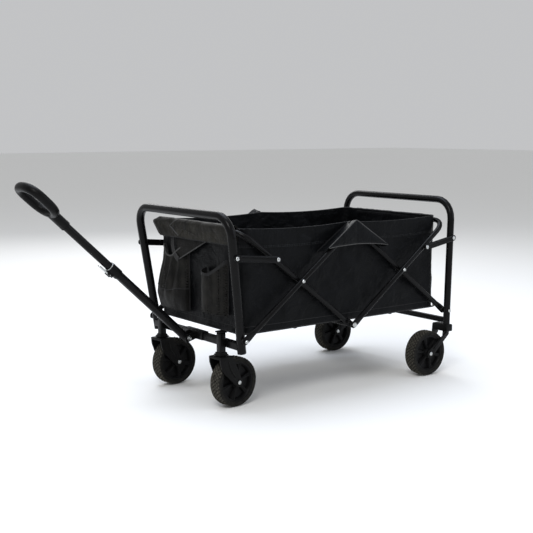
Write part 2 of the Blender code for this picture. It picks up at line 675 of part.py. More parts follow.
def make_handle(lower, upper, latch):
    profile = [(LOWER_R, LOWER_LEN), (LOWER_R, -0.012), (LOWER_BORE, -0.012), (LOWER_BORE, LOWER_LEN)]
    stick = turned("handle_lower_tube", profile, along(0), AXIS, 24)
    hole(stick, along(0, y=-0.03), along(0, y=0.03), AXLE_R + GAP)
    place(stick, FRAME, lower)

    seat = LOWER_R + GAP
    profile = [(COLLAR_R - 0.001, COLLAR_END), (COLLAR_R, COLLAR_END - 0.002), (COLLAR_R, COLLAR_START),
               (seat, COLLAR_START), (seat, LOWER_LEN + GAP), (UPPER_R + 0.0005, LOWER_LEN + GAP),
               (UPPER_R + 0.0005, COLLAR_END)]
    collar = turned("handle_collar", profile, along(0), AXIS, 24)
    ear_low, ear_high, ear_out, ear_in = 0.312, 0.330, COLLAR_R + 0.0066, 0.0116
    for s in (-1, 1):
        ear = block("latch_ear", Vector((ear_low, s * 0.0075 - 0.0015, ear_in)),
                    Vector((ear_high, s * 0.0075 + 0.0015, ear_out)))
        lay_on_handle(ear)
        join(collar, ear)
    pin_at, pin_r = LATCH_PIN, 0.0014
    depth = COLLAR_R + LATCH_RISE
    hole(collar, along(pin_at, depth, -0.012), along(pin_at, depth, 0.012), pin_r + GAP, 12)
    place(collar, PLASTIC, lower)

    lever = block("latch_lever", Vector((0.315, -0.0055, COLLAR_R + LATCH_RISE - 0.0020)),
                  Vector((0.362, 0.0055, COLLAR_R + LATCH_RISE + 0.0016)), 0.0006)
    lay_on_handle(lever)
    join(lever, rod("latch_pin", along(pin_at, depth, -0.0088), along(pin_at, depth, 0.0088), pin_r, 12))
    place(lever, ZINC, latch)

    inner = rod("handle_upper_tube", along(UPPER_START), along(UPPER_END), UPPER_R, 24)
    place(inner, FRAME, upper)
    make_grip(upper)


def lay_on_handle(obj):
    """Turn a piece drawn as (along the handle, across, below) into its place."""
    turn = Matrix((AXIS, Vector((0, 1, 0)), UNDER)).transposed().to_4x4()
    obj.data.transform(Matrix.Translation(along(0)) @ turn)
    if turn.determinant() < 0:
        obj.data.flip_normals()


def make_grip(upper):
    """A D-shaped loop on a neck that sleeves over the upper tube."""
    stations = []
    near, far = GRIP_NECK + GRIP_TUBE * 0.4, GRIP_END - GRIP_TUBE
    half_w, middle, half_l = GRIP_W / 2 - GRIP_TUBE, (near + far) / 2, (far - near) / 2
    steps = 24
    for i in range(steps):
        angle = 2 * math.pi * i / steps
        c, s = math.cos(angle), math.sin(angle)
        stations.append((middle + half_l * math.copysign(abs(c) ** 0.75, c),
                         half_w * math.copysign(abs(s) ** 0.8, s) * (1 + 0.10 * c)))
    ring = []
    for i, (d, y) in enumerate(stations):
        (d0, y0), (d1, y1) = stations[i - 1], stations[(i + 1) % steps]
        direction = (along(d1, y=y1) - along(d0, y=y0)).normalized()
        ring.append((along(d, y=y), direction, UNDER, GRIP_TUBE * 0.92, GRIP_TUBE))
    grip = loft("handle_grip", ring, 12, closed=True)
    join(grip, rod("neck", along(GRIP_START), along(GRIP_NECK + 0.012), 0.0155, 20, radius_end=0.017))
    hole(grip, along(GRIP_START - 0.01), along(UPPER_END + 0.001), UPPER_R + GAP, 24)
    place(grip, PLASTIC, upper)


# ---------------------------------------------------------------- tub
def rounded_box_outline(x_low, x_high, half_w, radius, steps=4):
    out = []
    corners = ((x_high - radius, 1), (x_low + radius, 1), (x_low + radius, -1), (x_high - radius, -1))
    for quarter, (x, sy) in enumerate(corners):
        for i in range(steps + 1):
            angle = math.radians(90 * quarter + 90 * i / steps)
            out.append((x + radius * math.cos(angle),
                        sy * (half_w - radius) + radius * math.sin(angle)))
    return out


def open_shell(name, outline, low, high, wall):
    """Walls and a floor along an outline, open at the top, with their thickness inside."""
    bm = bmesh.new()
    bottom = [bm.verts.new((x, y, low)) for x, y in outline]
    top = [bm.verts.new((x, y, high)) for x, y in outline]
    bm.faces.new(bottom)
    for i in range(len(outline)):
        j = (i + 1) % len(outline)
        bm.faces.new((bottom[i], bottom[j], top[j], top[i]))
    shell = from_mesh(name, bm)
    skin = shell.modifiers.new("wall", "SOLIDIFY")
    skin.thickness = wall
    skin.offset = -1
    skin.use_even_offset = True
    return shell


def make_tub(body):
    outline = rounded_box_outline(MID_X - BAG_FRONT, MID_X + BAG_REAR, BAG_HALF_W, BAG_CORNER)
    place(open_shell("fabric_tub", outline, BAG_BOTTOM, BAG_TOP, BAG_WALL), CLOTH, body)
    for name, y, w, d, low, high, material in (
            ("bottle_pocket", POCKET_Y, POCKET_W, POCKET_D, POCKET_BOTTOM, POCKET_TOP, MESH_CLOTH),
            ("front_pouch", POUCH_Y, POUCH_W, POUCH_D, POUCH_BOTTOM, POUCH_TOP, CLOTH)):
        back = MID_X - BAG_FRONT - 2 * GAP
        outline = [(back, y + w / 2), (back, y - w / 2)]
        for i in range(9):
            angle = math.pi * i / 8
            outline.append((back - 0.004 - (d - 0.004) * math.sin(angle) ** 0.6,
                            y - w / 2 * math.cos(angle)))
        pocket = open_shell(name, outline[::-1], low, high, 0.002)
        place(pocket, material, body)


# ---------------------------------------------------------------- the whole wagon
def build():
    make_front_frame()
    make_handle_bracket()
    fold = joint_empty("fold_axis", at(-HALF_BED, 0, PIVOT_Z), front)
    u_front = joint_empty("front_crossing_axis", at(-CROSS_X_ARM, 0, CROSSING_Z), fold)
    arms_rear = joint_empty("top_centre_axis", at(0, 0, TOP_Z), fold)
    u_rear = joint_empty("bottom_hub_axis", at(0, 0, PIVOT_Z), u_front)
    rear = joint_empty("rear_frame", at(HALF_BED, 0, PIVOT_Z), arms_rear)
    make_scissor(fold, u_front, arms_rear, u_rear)
    make_rear_frame(rear)
    leg = front_leg(FRONT_LINK_Z, 1)
    links_front = joint_empty("front_link_axis", Vector((leg.x, 0, leg.z)), front)
    leg = rear_leg(REAR_LINK_Z, 1)
    links_rear = joint_empty("rear_link_axis", Vector((leg.x, 0, leg.z)), rear)
    make_links(links_front, links_rear)
    for name, s in SIDES:
        steer = joint_empty("caster_" + name, at(POST_X, s * CASTER_Y, POST_BOTTOM), front)
        spin = joint_empty("front_wheel_" + name, at(POST_X + TRAIL, s * CASTER_Y, WHEEL_R), steer)
        make_caster(name, s, steer, spin)
        turn_caster(steer, POST_X, s * CASTER_Y)
        roll = joint_empty("rear_wheel_" + name, at(REAR_AXLE_X, s * REAR_WHEEL_Y, WHEEL_R), rear)
        make_rear_fork(name, s, rear, roll)
    lower = joint_empty("handle_axis", along(0), front)
    upper = joint_empty("handle_slide", along(UPPER_START), lower)
    latch = joint_empty("latch_axis", along(LATCH_PIN, COLLAR_R + LATCH_RISE), lower)
    make_handle(lower, upper, latch)
    make_tub(joint_empty("tub_hanger", at(-HALF_BED, 0, TOP_Z), front))
    bpy.context.view_layer.update()


build()
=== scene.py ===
"""Looks of the folding camp wagon: powder coated tubes, nylon forks and hubs, knobbly tyres,
a zinc latch and rivets, and a black oxford tub with sleeves, pockets and piping."""
import json
import math

import bmesh
import bpy
from mathutils import Matrix, Vector, noise


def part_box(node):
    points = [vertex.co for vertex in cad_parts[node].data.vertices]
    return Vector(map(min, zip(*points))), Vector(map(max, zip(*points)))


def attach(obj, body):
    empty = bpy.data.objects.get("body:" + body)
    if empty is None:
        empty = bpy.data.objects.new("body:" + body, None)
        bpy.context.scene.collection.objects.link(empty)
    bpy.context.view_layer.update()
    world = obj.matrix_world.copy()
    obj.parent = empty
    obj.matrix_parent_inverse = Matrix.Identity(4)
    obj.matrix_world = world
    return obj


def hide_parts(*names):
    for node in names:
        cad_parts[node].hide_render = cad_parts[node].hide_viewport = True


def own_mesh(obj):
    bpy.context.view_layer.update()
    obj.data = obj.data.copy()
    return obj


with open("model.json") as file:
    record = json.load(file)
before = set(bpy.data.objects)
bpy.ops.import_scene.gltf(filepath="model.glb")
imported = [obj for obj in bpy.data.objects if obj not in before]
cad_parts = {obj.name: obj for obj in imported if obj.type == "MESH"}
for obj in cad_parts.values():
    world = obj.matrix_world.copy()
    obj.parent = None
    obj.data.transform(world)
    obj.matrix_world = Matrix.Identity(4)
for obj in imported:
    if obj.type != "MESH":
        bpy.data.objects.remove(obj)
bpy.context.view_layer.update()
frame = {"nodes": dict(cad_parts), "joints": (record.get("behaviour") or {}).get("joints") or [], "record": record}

JOINTS = {j["name"]: j for j in frame["joints"]}
BODY_OF = {n: b for b, nodes in frame["record"]["behaviour"]["bodies"].items() for n in nodes}
SLOT_OF = {row["node"]: row["material_slot"] for row in frame["record"]["subparts"]}
SIDES = (("right", -1), ("left", 1))


def middle(node):
    low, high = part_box(node)
    return (low + high) / 2


MID_X = middle("centre_cross_tube").x


def at(x, y, z):
    """A place given from the middle of the bed."""
    return Vector((x + MID_X, y, z))


# ------------------------------------------------------------------ finishes
def linear(code):
    """An sRGB hex value as linear colour."""
    out = []
    for shift in (16, 8, 0):
        c = ((code >> shift) & 255) / 255
        out.append(c / 12.92 if c <= 0.04045 else ((c + 0.055) / 1.055) ** 2.4)
    return (*out, 1.0)


def add(tree, kind, into=None, **settings):
    """Add one node: settings are its properties or the values of its inputs, and into links
    its inputs to other nodes' outputs."""
    made = tree.nodes.new(kind)
    for key, value in settings.items():
        if hasattr(made, key):
            setattr(made, key, value)
        else:
            made.inputs[key.replace("_", " ")].default_value = value
    for key, source in (into or {}).items():
        tree.links.new(source, made.inputs[key])
    return made


# A wave node turns 20 radians a metre at scale 1, and one wave is two threads, over and under.
WAVE_SCALE_MM = 1000 / 20 * 2 * math.pi / 2


def new_finish(name, colour, other, roughness, patch_mm, grain_mm, grain, metallic=0.0,
               rough_swing=0.08, sheen=0.0, weave_mm=0.0, crease=0.0, gloss=0.5):
    """A finish whose colour and roughness drift in patches, with a fine grain in its bump, and
    for cloth a plain weave and soft creases."""
    mat = bpy.data.materials.new(name)
    mat.use_nodes = True
    tree = mat.node_tree
    shader = tree.nodes["Principled BSDF"]
    place = add(tree, "ShaderNodeTexCoord").outputs["Object"]
    patches = add(tree, "ShaderNodeTexNoise", {"Vector": place}, Scale=1000 / patch_mm, Detail=4.0,
                  Roughness=0.6)
    ramp = add(tree, "ShaderNodeMapRange", {"Value": patches.outputs["Fac"]}, From_Min=0.3, From_Max=0.7)
    colours = add(tree, "ShaderNodeMix", {"Factor": ramp.outputs["Result"]}, data_type="RGBA")
    colours.inputs[6].default_value = linear(colour)
    colours.inputs[7].default_value = linear(other)
    tree.links.new(colours.outputs[2], shader.inputs["Base Color"])
    rough = add(tree, "ShaderNodeMapRange", {"Value": patches.outputs["Fac"]},
                To_Min=roughness - rough_swing, To_Max=roughness + rough_swing)
    tree.links.new(rough.outputs["Result"], shader.inputs["Roughness"])
    fine = add(tree, "ShaderNodeTexNoise", {"Vector": place}, Scale=1000 / grain_mm, Detail=2.0)
    bump = add(tree, "ShaderNodeBump", {"Height": fine.outputs["Fac"]}, Strength=grain,
               Distance=0.0006)
    if weave_mm:
        threads = None
        for direction in ("X", "Y", "Z"):
            wave = add(tree, "ShaderNodeTexWave", {"Vector": place}, bands_direction=direction,
                       Scale=WAVE_SCALE_MM / weave_mm, Distortion=0.0)
            if threads is None:
                threads = wave.outputs["Fac"]
            else:
                threads = add(tree, "ShaderNodeMath", {0: threads, 1: wave.outputs["Fac"]},
                              operation="ADD").outputs[0]
        bump = add(tree, "ShaderNodeBump", {"Height": threads, "Normal": bump.outputs["Normal"]},
                   Strength=0.25, Distance=0.0004)
    if crease:
        folds = add(tree, "ShaderNodeTexNoise", {"Vector": place}, Scale=22.0, Detail=3.0,
                    Roughness=0.55, Distortion=0.6)
        bump = add(tree, "ShaderNodeBump", {"Height": folds.outputs["Fac"],
                                            "Normal": bump.outputs["Normal"]},
                   Strength=crease, Distance=0.006)
    tree.links.new(bump.outputs["Normal"], shader.inputs["Normal"])
    shader.inputs["Metallic"].default_value = metallic
    shader.inputs["Specular IOR Level"].default_value = gloss
    shader.inputs["Sheen Weight"].default_value = sheen
    shader.inputs["Sheen Roughness"].default_value = 0.45
    return mat


# Powder coat on steel tube: near black with a soft, slightly cold gloss and a fine orange peel.
POWDER_COAT = new_finish("powder_coated_steel", 0x080808, 0x0E0E0F, 0.26, 45, 1.6, 0.25, gloss=0.11)
# Glass filled nylon, moulded: duller than the tubes, with a faint grain.
NYLON = new_finish("moulded_black_nylon", 0x090909, 0x0F0F0F, 0.38, 30, 0.9, 0.35, gloss=0.09)
# The hubs are the same nylon, darker where dust is wiped off.
HUB_NYLON = new_finish("hub_black_nylon", 0x090909, 0x0F0F10, 0.42, 25, 0.9, 0.3, gloss=0.11)
# Rubber of the tyres: dead matt, dusty grey on the high spots.
TYRE_RUBBER = new_finish("tyre_rubber", 0x101010, 0x262522, 0.84, 10, 1.2, 0.6, gloss=0.10)
# The tread's lugs carry dust, so they are paler than the grooves.
DUSTY_RUBBER = new_finish("dusty_tread_rubber", 0x24231F, 0x55524B, 0.9, 7, 1.0, 0.6, gloss=0.12)
# Zinc plated steel: rivets, bolts and the latch.
ZINC = new_finish("zinc_plated_steel", 0xC4C6C5, 0xA9ABAA, 0.27, 6, 0.5, 0.15, metallic=1.0)
# Black 600 denier oxford: a plain weave, drawn at 3 mm because 0.6 mm threads would not show.
OXFORD = new_finish("black_oxford_cloth", 0x060708, 0x0C0D0F, 0.42, 60, 2.2, 0.5, sheen=0.005,
                    weave_mm=3.0, crease=1.0, gloss=0.075)
# The sleeves are the same cloth, handled and dusty, so browner and more creased.
SLEEVE_CLOTH = new_finish("dusty_oxford_cloth", 0x12110F, 0x2C2A25, 0.55, 26, 2.2, 0.6, sheen=0.02,
                          weave_mm=3.0, crease=1.0, gloss=0.12)
POUCH_CLOTH = new_finish("brown_black_oxford_cloth", 0x0A0909, 0x151412, 0.55, 40, 2.2, 0.5, sheen=0.01,
                         weave_mm=3.0, crease=0.9, gloss=0.11)
# Polyester webbing and binding tape, ribbed across.
WEBBING = new_finish("black_webbing", 0x121213, 0x1C1C1D, 0.6, 12, 1.4, 0.7, sheen=0.03, weave_mm=4.0,
                     gloss=0.25)
# Binding that has greyed where it rubs; the same pale grey also stands as a painted highlight on the sleeve's
# arrow crease and on the centre flaps' ridge and hem welts.
WORN_BINDING_AND_PAINTED_HIGHLIGHT = new_finish("worn_grey_binding_and_painted_highlight", 0x2E2E2E, 0x4A4A49, 0.62, 9, 1.4, 0.7, sheen=0.03,
                          weave_mm=4.0, gloss=0.25)
THREAD = new_finish("grey_black_thread", 0x262729, 0x343639, 0.6, 4, 0.8, 0.3, gloss=0.3)
GREY_TAPE = new_finish("grey_cotton_tape", 0x8E8D86, 0xA3A29A, 0.85, 9, 1.5, 0.6, weave_mm=3.0)


def net_finish():
    """Knitted mesh: hexagon-like holes of 2.4 mm, drawn coarse enough to show, between dull threads."""
    mat = new_finish("knitted_mesh_cloth", 0x111110, 0x21201E, 0.6, 25, 1.8, 0.6, sheen=0.02,
                     gloss=0.10)
    tree = mat.node_tree
    place = add(tree, "ShaderNodeTexCoord").outputs["Object"]
    turned = add(tree, "ShaderNodeMapping", {"Vector": place}, Scale=(0.35, 1.0, 1.0),
                 Rotation=(math.radians(45), 0, 0))
    cells = add(tree, "ShaderNodeTexVoronoi", {"Vector": turned.outputs["Vector"]}, Scale=1000 / 5.6,
                Randomness=0.0)
    threads = add(tree, "ShaderNodeMath", {0: cells.outputs["Distance"]}, operation="GREATER_THAN")
    threads.inputs[1].default_value = 0.34
    shader = tree.nodes["Principled BSDF"]
    tree.links.new(threads.outputs[0], shader.inputs["Alpha"])
    return mat


NET = net_finish()
FINISHES = {"frame_steel": POWDER_COAT, "cap_nylon": NYLON, "fork_nylon": NYLON, "hub_nylon": HUB_NYLON,
            "grip_nylon": NYLON, "tyre": TYRE_RUBBER, "zinc_steel": ZINC, "tub_cloth": OXFORD,
            "pouch_cloth": POUCH_CLOTH, "mesh_cloth": NET}


# ------------------------------------------------------------------ making pieces
def deselect():
    if bpy.context.object and bpy.context.object.mode != "OBJECT":
        bpy.ops.object.mode_set(mode="OBJECT")
    bpy.ops.object.select_all(action="DESELECT")


def pick(obj):
    deselect()
    obj.select_set(True)
    bpy.context.view_layer.objects.active = obj


def modify(obj, kind, **settings):
    """Add a modifier and apply it."""
    pick(obj)
    made = obj.modifiers.new(kind.lower(), kind)
    for key, value in settings.items():
        setattr(made, key, value)
    bpy.ops.object.modifier_apply(modifier=made.name)


def settle(obj, name, material, body, replaces=(), smooth=32, matrix=None):
    """Bake a piece's place into its mesh, name and finish it, and give it to its body."""
    pick(obj)
    bpy.ops.object.transform_apply(location=True, rotation=True, scale=True)
    if matrix is not None:
        obj.data.transform(matrix)
    obj.name = obj.data.name = name
    obj.data.materials.clear()
    obj.data.materials.append(material)
    bpy.ops.object.shade_smooth_by_angle(angle=math.radians(smooth))
    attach(obj, body)
    if replaces:
        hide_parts(*replaces)
    return obj


def loose_mesh(name, bm):
    mesh = bpy.data.meshes.new(name)
    bmesh.ops.recalc_face_normals(bm, faces=bm.faces)
    bm.to_mesh(mesh)
    bm.free()
    obj = bpy.data.objects.new(name, mesh)
    bpy.context.scene.collection.objects.link(obj)
    return obj


def finished_copy(node, edge=0.0, material=None):
    """A frame part welded, with its edges eased, standing in for its plain solid."""
    obj = bpy.data.objects.new(node + "_finished", frame["nodes"][node].data.copy())
    bpy.context.scene.collection.objects.link(obj)
    pick(obj)
    bpy.ops.object.mode_set(mode="EDIT")
    bpy.ops.mesh.select_all(action="SELECT")
    bpy.ops.mesh.remove_doubles(threshold=0.00001)
    bpy.ops.mesh.dissolve_limited(angle_limit=math.radians(0.4))
    bpy.ops.object.mode_set(mode="OBJECT")
    if edge:
        modify(obj, "BEVEL", width=edge, segments=2, limit_method="ANGLE", angle_limit=math.radians(40))
    return settle(obj, node + "_finished", material or FINISHES[SLOT_OF[node]], BODY_OF[node],
                  (node,))


def join_all(objects):
    pick(objects[0])
    for obj in objects[1:]:
        obj.select_set(True)
    bpy.ops.object.join()
    return bpy.context.object


def strip(name, points, radius, closed=False, sides=3):
    """A round cord or welt through points, as a mesh."""
    curve = bpy.data.curves.new(name, "CURVE")
    curve.dimensions = "3D"
    curve.bevel_depth = radius
    curve.bevel_resolution = sides
    curve.use_fill_caps = True
    line = curve.splines.new("POLY")
    line.points.add(len(points) - 1)
    for spot, p in zip(line.points, points):
        spot.co = (*p, 1)
    line.use_cyclic_u = closed
    obj = bpy.data.objects.new(name, curve)
    bpy.context.scene.collection.objects.link(obj)
    pick(obj)
    bpy.ops.object.convert(target="MESH")
    return bpy.context.object


def sheet_mesh(name, rows, thick=0.0, wrap=False, offset=0.0):
    """A cloth surface through rows of points, given a thickness."""
    bm = bmesh.new()
    grid = [[bm.verts.new(p) for p in row] for row in rows]
    for lower, upper in zip(grid, grid[1:]):
        count = len(lower)
        for i in range(count if wrap else count - 1):
            j = (i + 1) % count
            bm.faces.new((lower[i], lower[j], upper[j], upper[i]))
    obj = loose_mesh(name, bm)
    if thick:
        modify(obj, "SOLIDIFY", thickness=thick, offset=offset, use_even_offset=True)
    return obj


# ------------------------------------------------------------------ frame
PLAIN_EDGES = {
    "front_portal": 0, "rear_portal": 0, "front_u_arm": 0, "rear_u_arm": 0, "front_arm_left": 0,
    "front_arm_right": 0, "rear_arm_left": 0, "rear_arm_right": 0, "centre_cross_tube": 0,
    "front_cross_tube": 0.0009, "rear_cross_tube": 0.0009, "handle_bracket": 0.0005,
    "caster_post_left": 0.0008, "caster_post_right": 0.0008, "post_cap_left": 0.0012,
    "post_cap_right": 0.0012, "front_link_left": 0.0009, "front_link_right": 0.0009,
    "rear_link_left": 0.0009, "rear_link_right": 0.0009, "caster_fork_left": 0.0011,
    "caster_fork_right": 0.0011, "rear_fork_left": 0.0011, "rear_fork_right": 0.0011,
    "handle_collar": 0.0006, "handle_lower_tube": 0, "handle_bolt": 0.0005, "latch_lever": 0.0004,
}


def make_frame():
    for node, edge in PLAIN_EDGES.items():
        finished_copy(node, edge)
    for node, slot in SLOT_OF.items():
        if slot == "zinc_steel" and node not in PLAIN_EDGES:
            finished_copy(node, 0.0003)


def make_link_rivets():
    """Domed zinc heads at both ends of each link."""
    for end in ("front", "rear"):
        for name, s in SIDES:
            low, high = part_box(f"{end}_link_{name}")
            pivot = Vector(JOINTS[f"{end}_link_pivot"]["pos_m"])
            half = abs(pivot.x - (low.x if end == "front" else high.x))
            leg_x = low.x + half if end == "front" else high.x - half
            arm_x = high.x - half if end == "front" else low.x + half
            leg_z = pivot.z
            arm_z = low.z + half if abs(low.z + half - leg_z) > abs(high.z - half - leg_z) else high.z - half
            heads = []
            for x, z in ((leg_x, leg_z), (arm_x, arm_z)):
                deselect()
                bpy.ops.mesh.primitive_uv_sphere_add(segments=24, ring_count=12, radius=0.0062)
                dome = bpy.context.object
                bpy.ops.object.mode_set(mode="EDIT")
                bpy.ops.mesh.select_all(action="SELECT")
                bpy.ops.mesh.bisect(plane_co=(0, 0.0006 * s, 0), plane_no=(0, s, 0), use_fill=True,
                                    clear_inner=True)
                bpy.ops.object.mode_set(mode="OBJECT")
                outer = high.y if s > 0 else low.y
                dome.data.transform(Matrix.Translation((x, outer - s * 0.0032, z))
                                    @ Matrix.Diagonal((1, 0.58, 1, 1)))
                heads.append(dome)
            settle(join_all(heads), f"{end}_link_rivets_{name}", ZINC, f"{end}_links")
            way = Vector((arm_x - leg_x, 0, arm_z - leg_z)).normalized()
            square = Vector((-way.z, 0, way.x))
            face = outer - s * 0.0032
            rails = []
            for side in (-1, 1):
                a = Vector((leg_x, face, leg_z)) + way * 0.009 + square * 0.0062 * side
                b = Vector((arm_x, face, arm_z)) - way * 0.009 + square * 0.0062 * side
                rails.append(strip("rail", [a, b], 0.0015))
            settle(join_all(rails), f"{end}_link_rails_{name}", POWDER_COAT, f"{end}_links")


def make_post_collars():
    """A stepped collar round the foot of each caster post."""
    for name, s in SIDES:
        low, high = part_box("caster_post_" + name)
        centre = (low + high) / 2
        deselect()
        bpy.ops.mesh.primitive_cube_add(size=1)
        collar = bpy.context.object
        bpy.ops.object.mode_set(mode="EDIT")
        bpy.ops.mesh.select_all(action="SELECT")
        bpy.ops.transform.resize(value=(0.0300, 0.0300, 0.0045), center_override=(0, 0, 0))
        faces_where(collar, lambda f: f.normal.z > 0.9)
        bpy.ops.mesh.inset(thickness=0.0026, depth=0.0)
        bpy.ops.mesh.extrude_region_move(TRANSFORM_OT_translate={"value": (0, 0, 0.0050)})
        bpy.ops.object.mode_set(mode="OBJECT")
        modify(collar, "BEVEL", width=0.0009, segments=2, limit_method="ANGLE",
               angle_limit=math.radians(40))
        collar.data.transform(Matrix.Translation((centre.x, centre.y, low.z + 0.0030)))
        settle(collar, "post_collar_" + name, NYLON, "front_frame")


# ------------------------------------------------------------------ wheels
WHEEL_R, TREAD_HALF, RIM_R = 0.072, 0.020, 0.058


def faces_where(obj, test):
    """Select, in edit mode, the faces whose centre and normal pass a test."""
    bpy.ops.mesh.select_all(action="DESELECT")
    bm = bmesh.from_edit_mesh(obj.data)
    bpy.context.tool_settings.mesh_select_mode = (False, False, True)
    for face in bm.faces:
        face.select_set(bool(test(face)))
    bm.select_flush_mode()
    bmesh.update_edit_mesh(obj.data)


def model_tyre():
    """A carcass with rounded shoulders, and staggered diamond lugs round it."""
    deselect()
    body_r = WHEEL_R - 0.0024
    bpy.ops.mesh.primitive_cylinder_add(vertices=96, radius=body_r, depth=2 * TREAD_HALF,
                                        rotation=(math.pi / 2, 0, 0))
    tyre = bpy.context.object
    bpy.ops.object.transform_apply(rotation=True)
    bpy.ops.object.mode_set(mode="EDIT")
    faces_where(tyre, lambda f: abs(f.normal.y) > 0.9)
    bpy.ops.mesh.inset(thickness=0.0042)
    bpy.ops.mesh.inset(thickness=body_r - 0.0042 - RIM_R - 0.001, depth=-0.0014)
    bpy.ops.mesh.inset(thickness=0.001, depth=-0.0008)
    bpy.ops.mesh.bridge_edge_loops()
    bpy.ops.object.mode_set(mode="OBJECT")
    modify(tyre, "BEVEL", width=0.0026, segments=3, limit_method="ANGLE", angle_limit=math.radians(40))
    deselect()
    bpy.ops.mesh.primitive_cylinder_add(vertices=4, radius=0.0052, depth=0.0030, end_fill_type="NGON")
    lug = bpy.context.object
    bpy.ops.object.mode_set(mode="EDIT")
    faces_where(lug, lambda f: f.normal.z > 0.9)
    bpy.ops.transform.resize(value=(0.68, 0.68, 1.0), center_override=(0, 0, 0.0015))
    faces_where(lug, lambda f: f.normal.z < -0.9)
    bpy.ops.mesh.delete(type="FACE")
    bpy.ops.object.mode_set(mode="OBJECT")
    lug.data.transform(Matrix.Diagonal((1.05, 0.82, 1, 1)))
    pieces, around = [], 42
    for row, y in enumerate((-0.0168, -0.0102, -0.0034, 0.0034, 0.0102, 0.0168)):
        drop = 0.0016 if abs(y) > 0.015 else 0.0
        tilt = math.copysign(math.radians(24), -y) if drop else 0.0
        for k in range(around):
            angle = 2 * math.pi * (k + 0.5 * (row % 2)) / around
            copy = bpy.data.objects.new("lug", lug.data.copy())
            bpy.context.scene.collection.objects.link(copy)
            copy.data.transform(Matrix.Rotation(angle, 4, "Y")
                                @ Matrix.Translation((0, y, WHEEL_R - 0.0015 - drop))
                                @ Matrix.Rotation(tilt, 4, "X"))
            pieces.append(copy)
    bpy.data.objects.remove(lug)
    return tyre, join_all(pieces)


def model_hub():
    """A dished hub: a rim lip, a web with six sunk windows on each face, and a long boss."""
    deselect()
    bpy.ops.mesh.primitive_cylinder_add(vertices=72, radius=RIM_R - 0.0003, depth=0.0345,
                                        rotation=(math.pi / 2, 0, 0))
    hub = bpy.context.object
    bpy.ops.object.transform_apply(rotation=True)
    bpy.ops.object.mode_set(mode="EDIT")
    for side in (-1, 1):
        faces_where(hub, lambda f: f.normal.y * side > 0.9 and abs(f.calc_center_median().y) > 0.017)
        bpy.ops.mesh.inset(thickness=0.0042)
        bpy.ops.mesh.inset(thickness=0.0014, depth=-0.0040)
        bpy.ops.mesh.inset(thickness=0.0372, depth=0.0010)
        bpy.ops.mesh.inset(thickness=0.0012, depth=0.0054)
        bpy.ops.mesh.inset(thickness=0.0030, depth=0.0006)
    for side in (-1, 1):
        for window in range(6):
            low = math.radians(60 * window + 7)
            high = math.radians(60 * window + 53)

            def in_window(f):
                c = f.calc_center_median()
                angle = math.atan2(c.z, c.x) % (2 * math.pi)
                reach = math.hypot(c.x, c.z)
                return f.normal.y * side > 0.7 and 0.020 < reach < 0.046 and low < angle < high

            faces_where(hub, in_window)
            bpy.ops.mesh.inset(thickness=0.0010, depth=0.0, use_even_offset=True)
            bpy.ops.mesh.inset(thickness=0.0014, depth=-0.0095)
    bpy.ops.object.mode_set(mode="OBJECT")
    ribs = [hub]
    for side in (-1, 1):
        for spoke in range(6):
            angle = math.radians(60 * spoke)
            ray = Vector((math.cos(angle), 0, math.sin(angle)))
            ribs.append(strip("rib", [ray * 0.013 + Vector((0, side * 0.0148, 0)),
                                      ray * 0.0530 + Vector((0, side * 0.0138, 0))], 0.0013))
    hub = join_all(ribs)
    modify(hub, "BEVEL", width=0.0005, segments=2, limit_method="ANGLE", angle_limit=math.radians(35))
    return hub


def make_wheels():
    (tyre, lugs), hub = model_tyre(), model_hub()
    for end in ("front", "rear"):
        for name, s in SIDES:
            axis = Vector(JOINTS[f"{end}_wheel_spin_{name}"]["axis"])
            centre = Vector(JOINTS[f"{end}_wheel_spin_{name}"]["pos_m"])
            turn = Matrix.Rotation(math.atan2(-axis.x, axis.y), 4, "Z")
            own = Matrix.Rotation(math.radians(17 * s + (31 if end == "rear" else 0)), 4, "Y")
            for source, part, look in ((tyre, "tyre", "moulded"), (lugs, "tyre", "lugs"),
                                       (hub, "hub", "moulded")):
                node = f"{part}_{end}_{name}"
                copy = bpy.data.objects.new(f"{node}_{look}", source.data.copy())
                bpy.context.scene.collection.objects.link(copy)
                finish = DUSTY_RUBBER if look == "lugs" else FINISHES[SLOT_OF[node]]
                settle(copy, f"{node}_{look}", finish, BODY_OF[node],
                       () if look == "lugs" else (node,), matrix=Matrix.Translation(centre) @ turn @ own)
    for source in (tyre, lugs, hub):
        bpy.data.objects.remove(source)


def fork_ribs():
    """A raised rib down the outside of each fork arm."""
    for end in ("front", "rear"):
        for name, s in SIDES:
            joint = JOINTS[f"{end}_wheel_spin_{name}"]
            centre, axis = Vector(joint["pos_m"]), Vector(joint["axis"])
            turn = Matrix.Rotation(math.atan2(-axis.x, axis.y), 4, "Z")
            if end == "front":
                line = [(-0.040, 0.066), (-0.030, 0.040), (-0.014, 0.017)]
            else:
                line = [(0.071, 0.062), (0.050, 0.046), (0.015, 0.014)]
            ribs = []
            for side in (-1, 1):
                points = [centre + turn @ Vector((x, side * 0.0258, z)) for x, z in line]
                ribs.append(strip("rib", points, 0.0021))
            body = f"caster_{name}" if end == "front" else "rear_frame"
            settle(join_all(ribs), f"{end}_fork_ribs_{name}", NYLON, body)


# ------------------------------------------------------------------ pull handle
HANDLE_AXIS = Vector(JOINTS["handle_telescope"]["axis"]).normalized()
HANDLE_UNDER = Vector((-HANDLE_AXIS.z, 0, HANDLE_AXIS.x))
HANDLE_PIVOT = middle("handle_bolt")
GRIP_NECK, GRIP_END, GRIP_W, GRIP_TUBE = 0.556, 0.681, 0.132, 0.0135


def along(distance, under=0.0, y=0.0):
    return HANDLE_PIVOT + HANDLE_AXIS * distance + HANDLE_UNDER * under + Vector((0, y, 0))


def on_handle():
    """The turn from (across, below, along) to the handle's own directions."""
    return Matrix.Translation(HANDLE_PIVOT) @ Matrix((Vector((0, 1, 0)), HANDLE_UNDER, HANDLE_AXIS)
                                                     ).transposed().to_4x4()


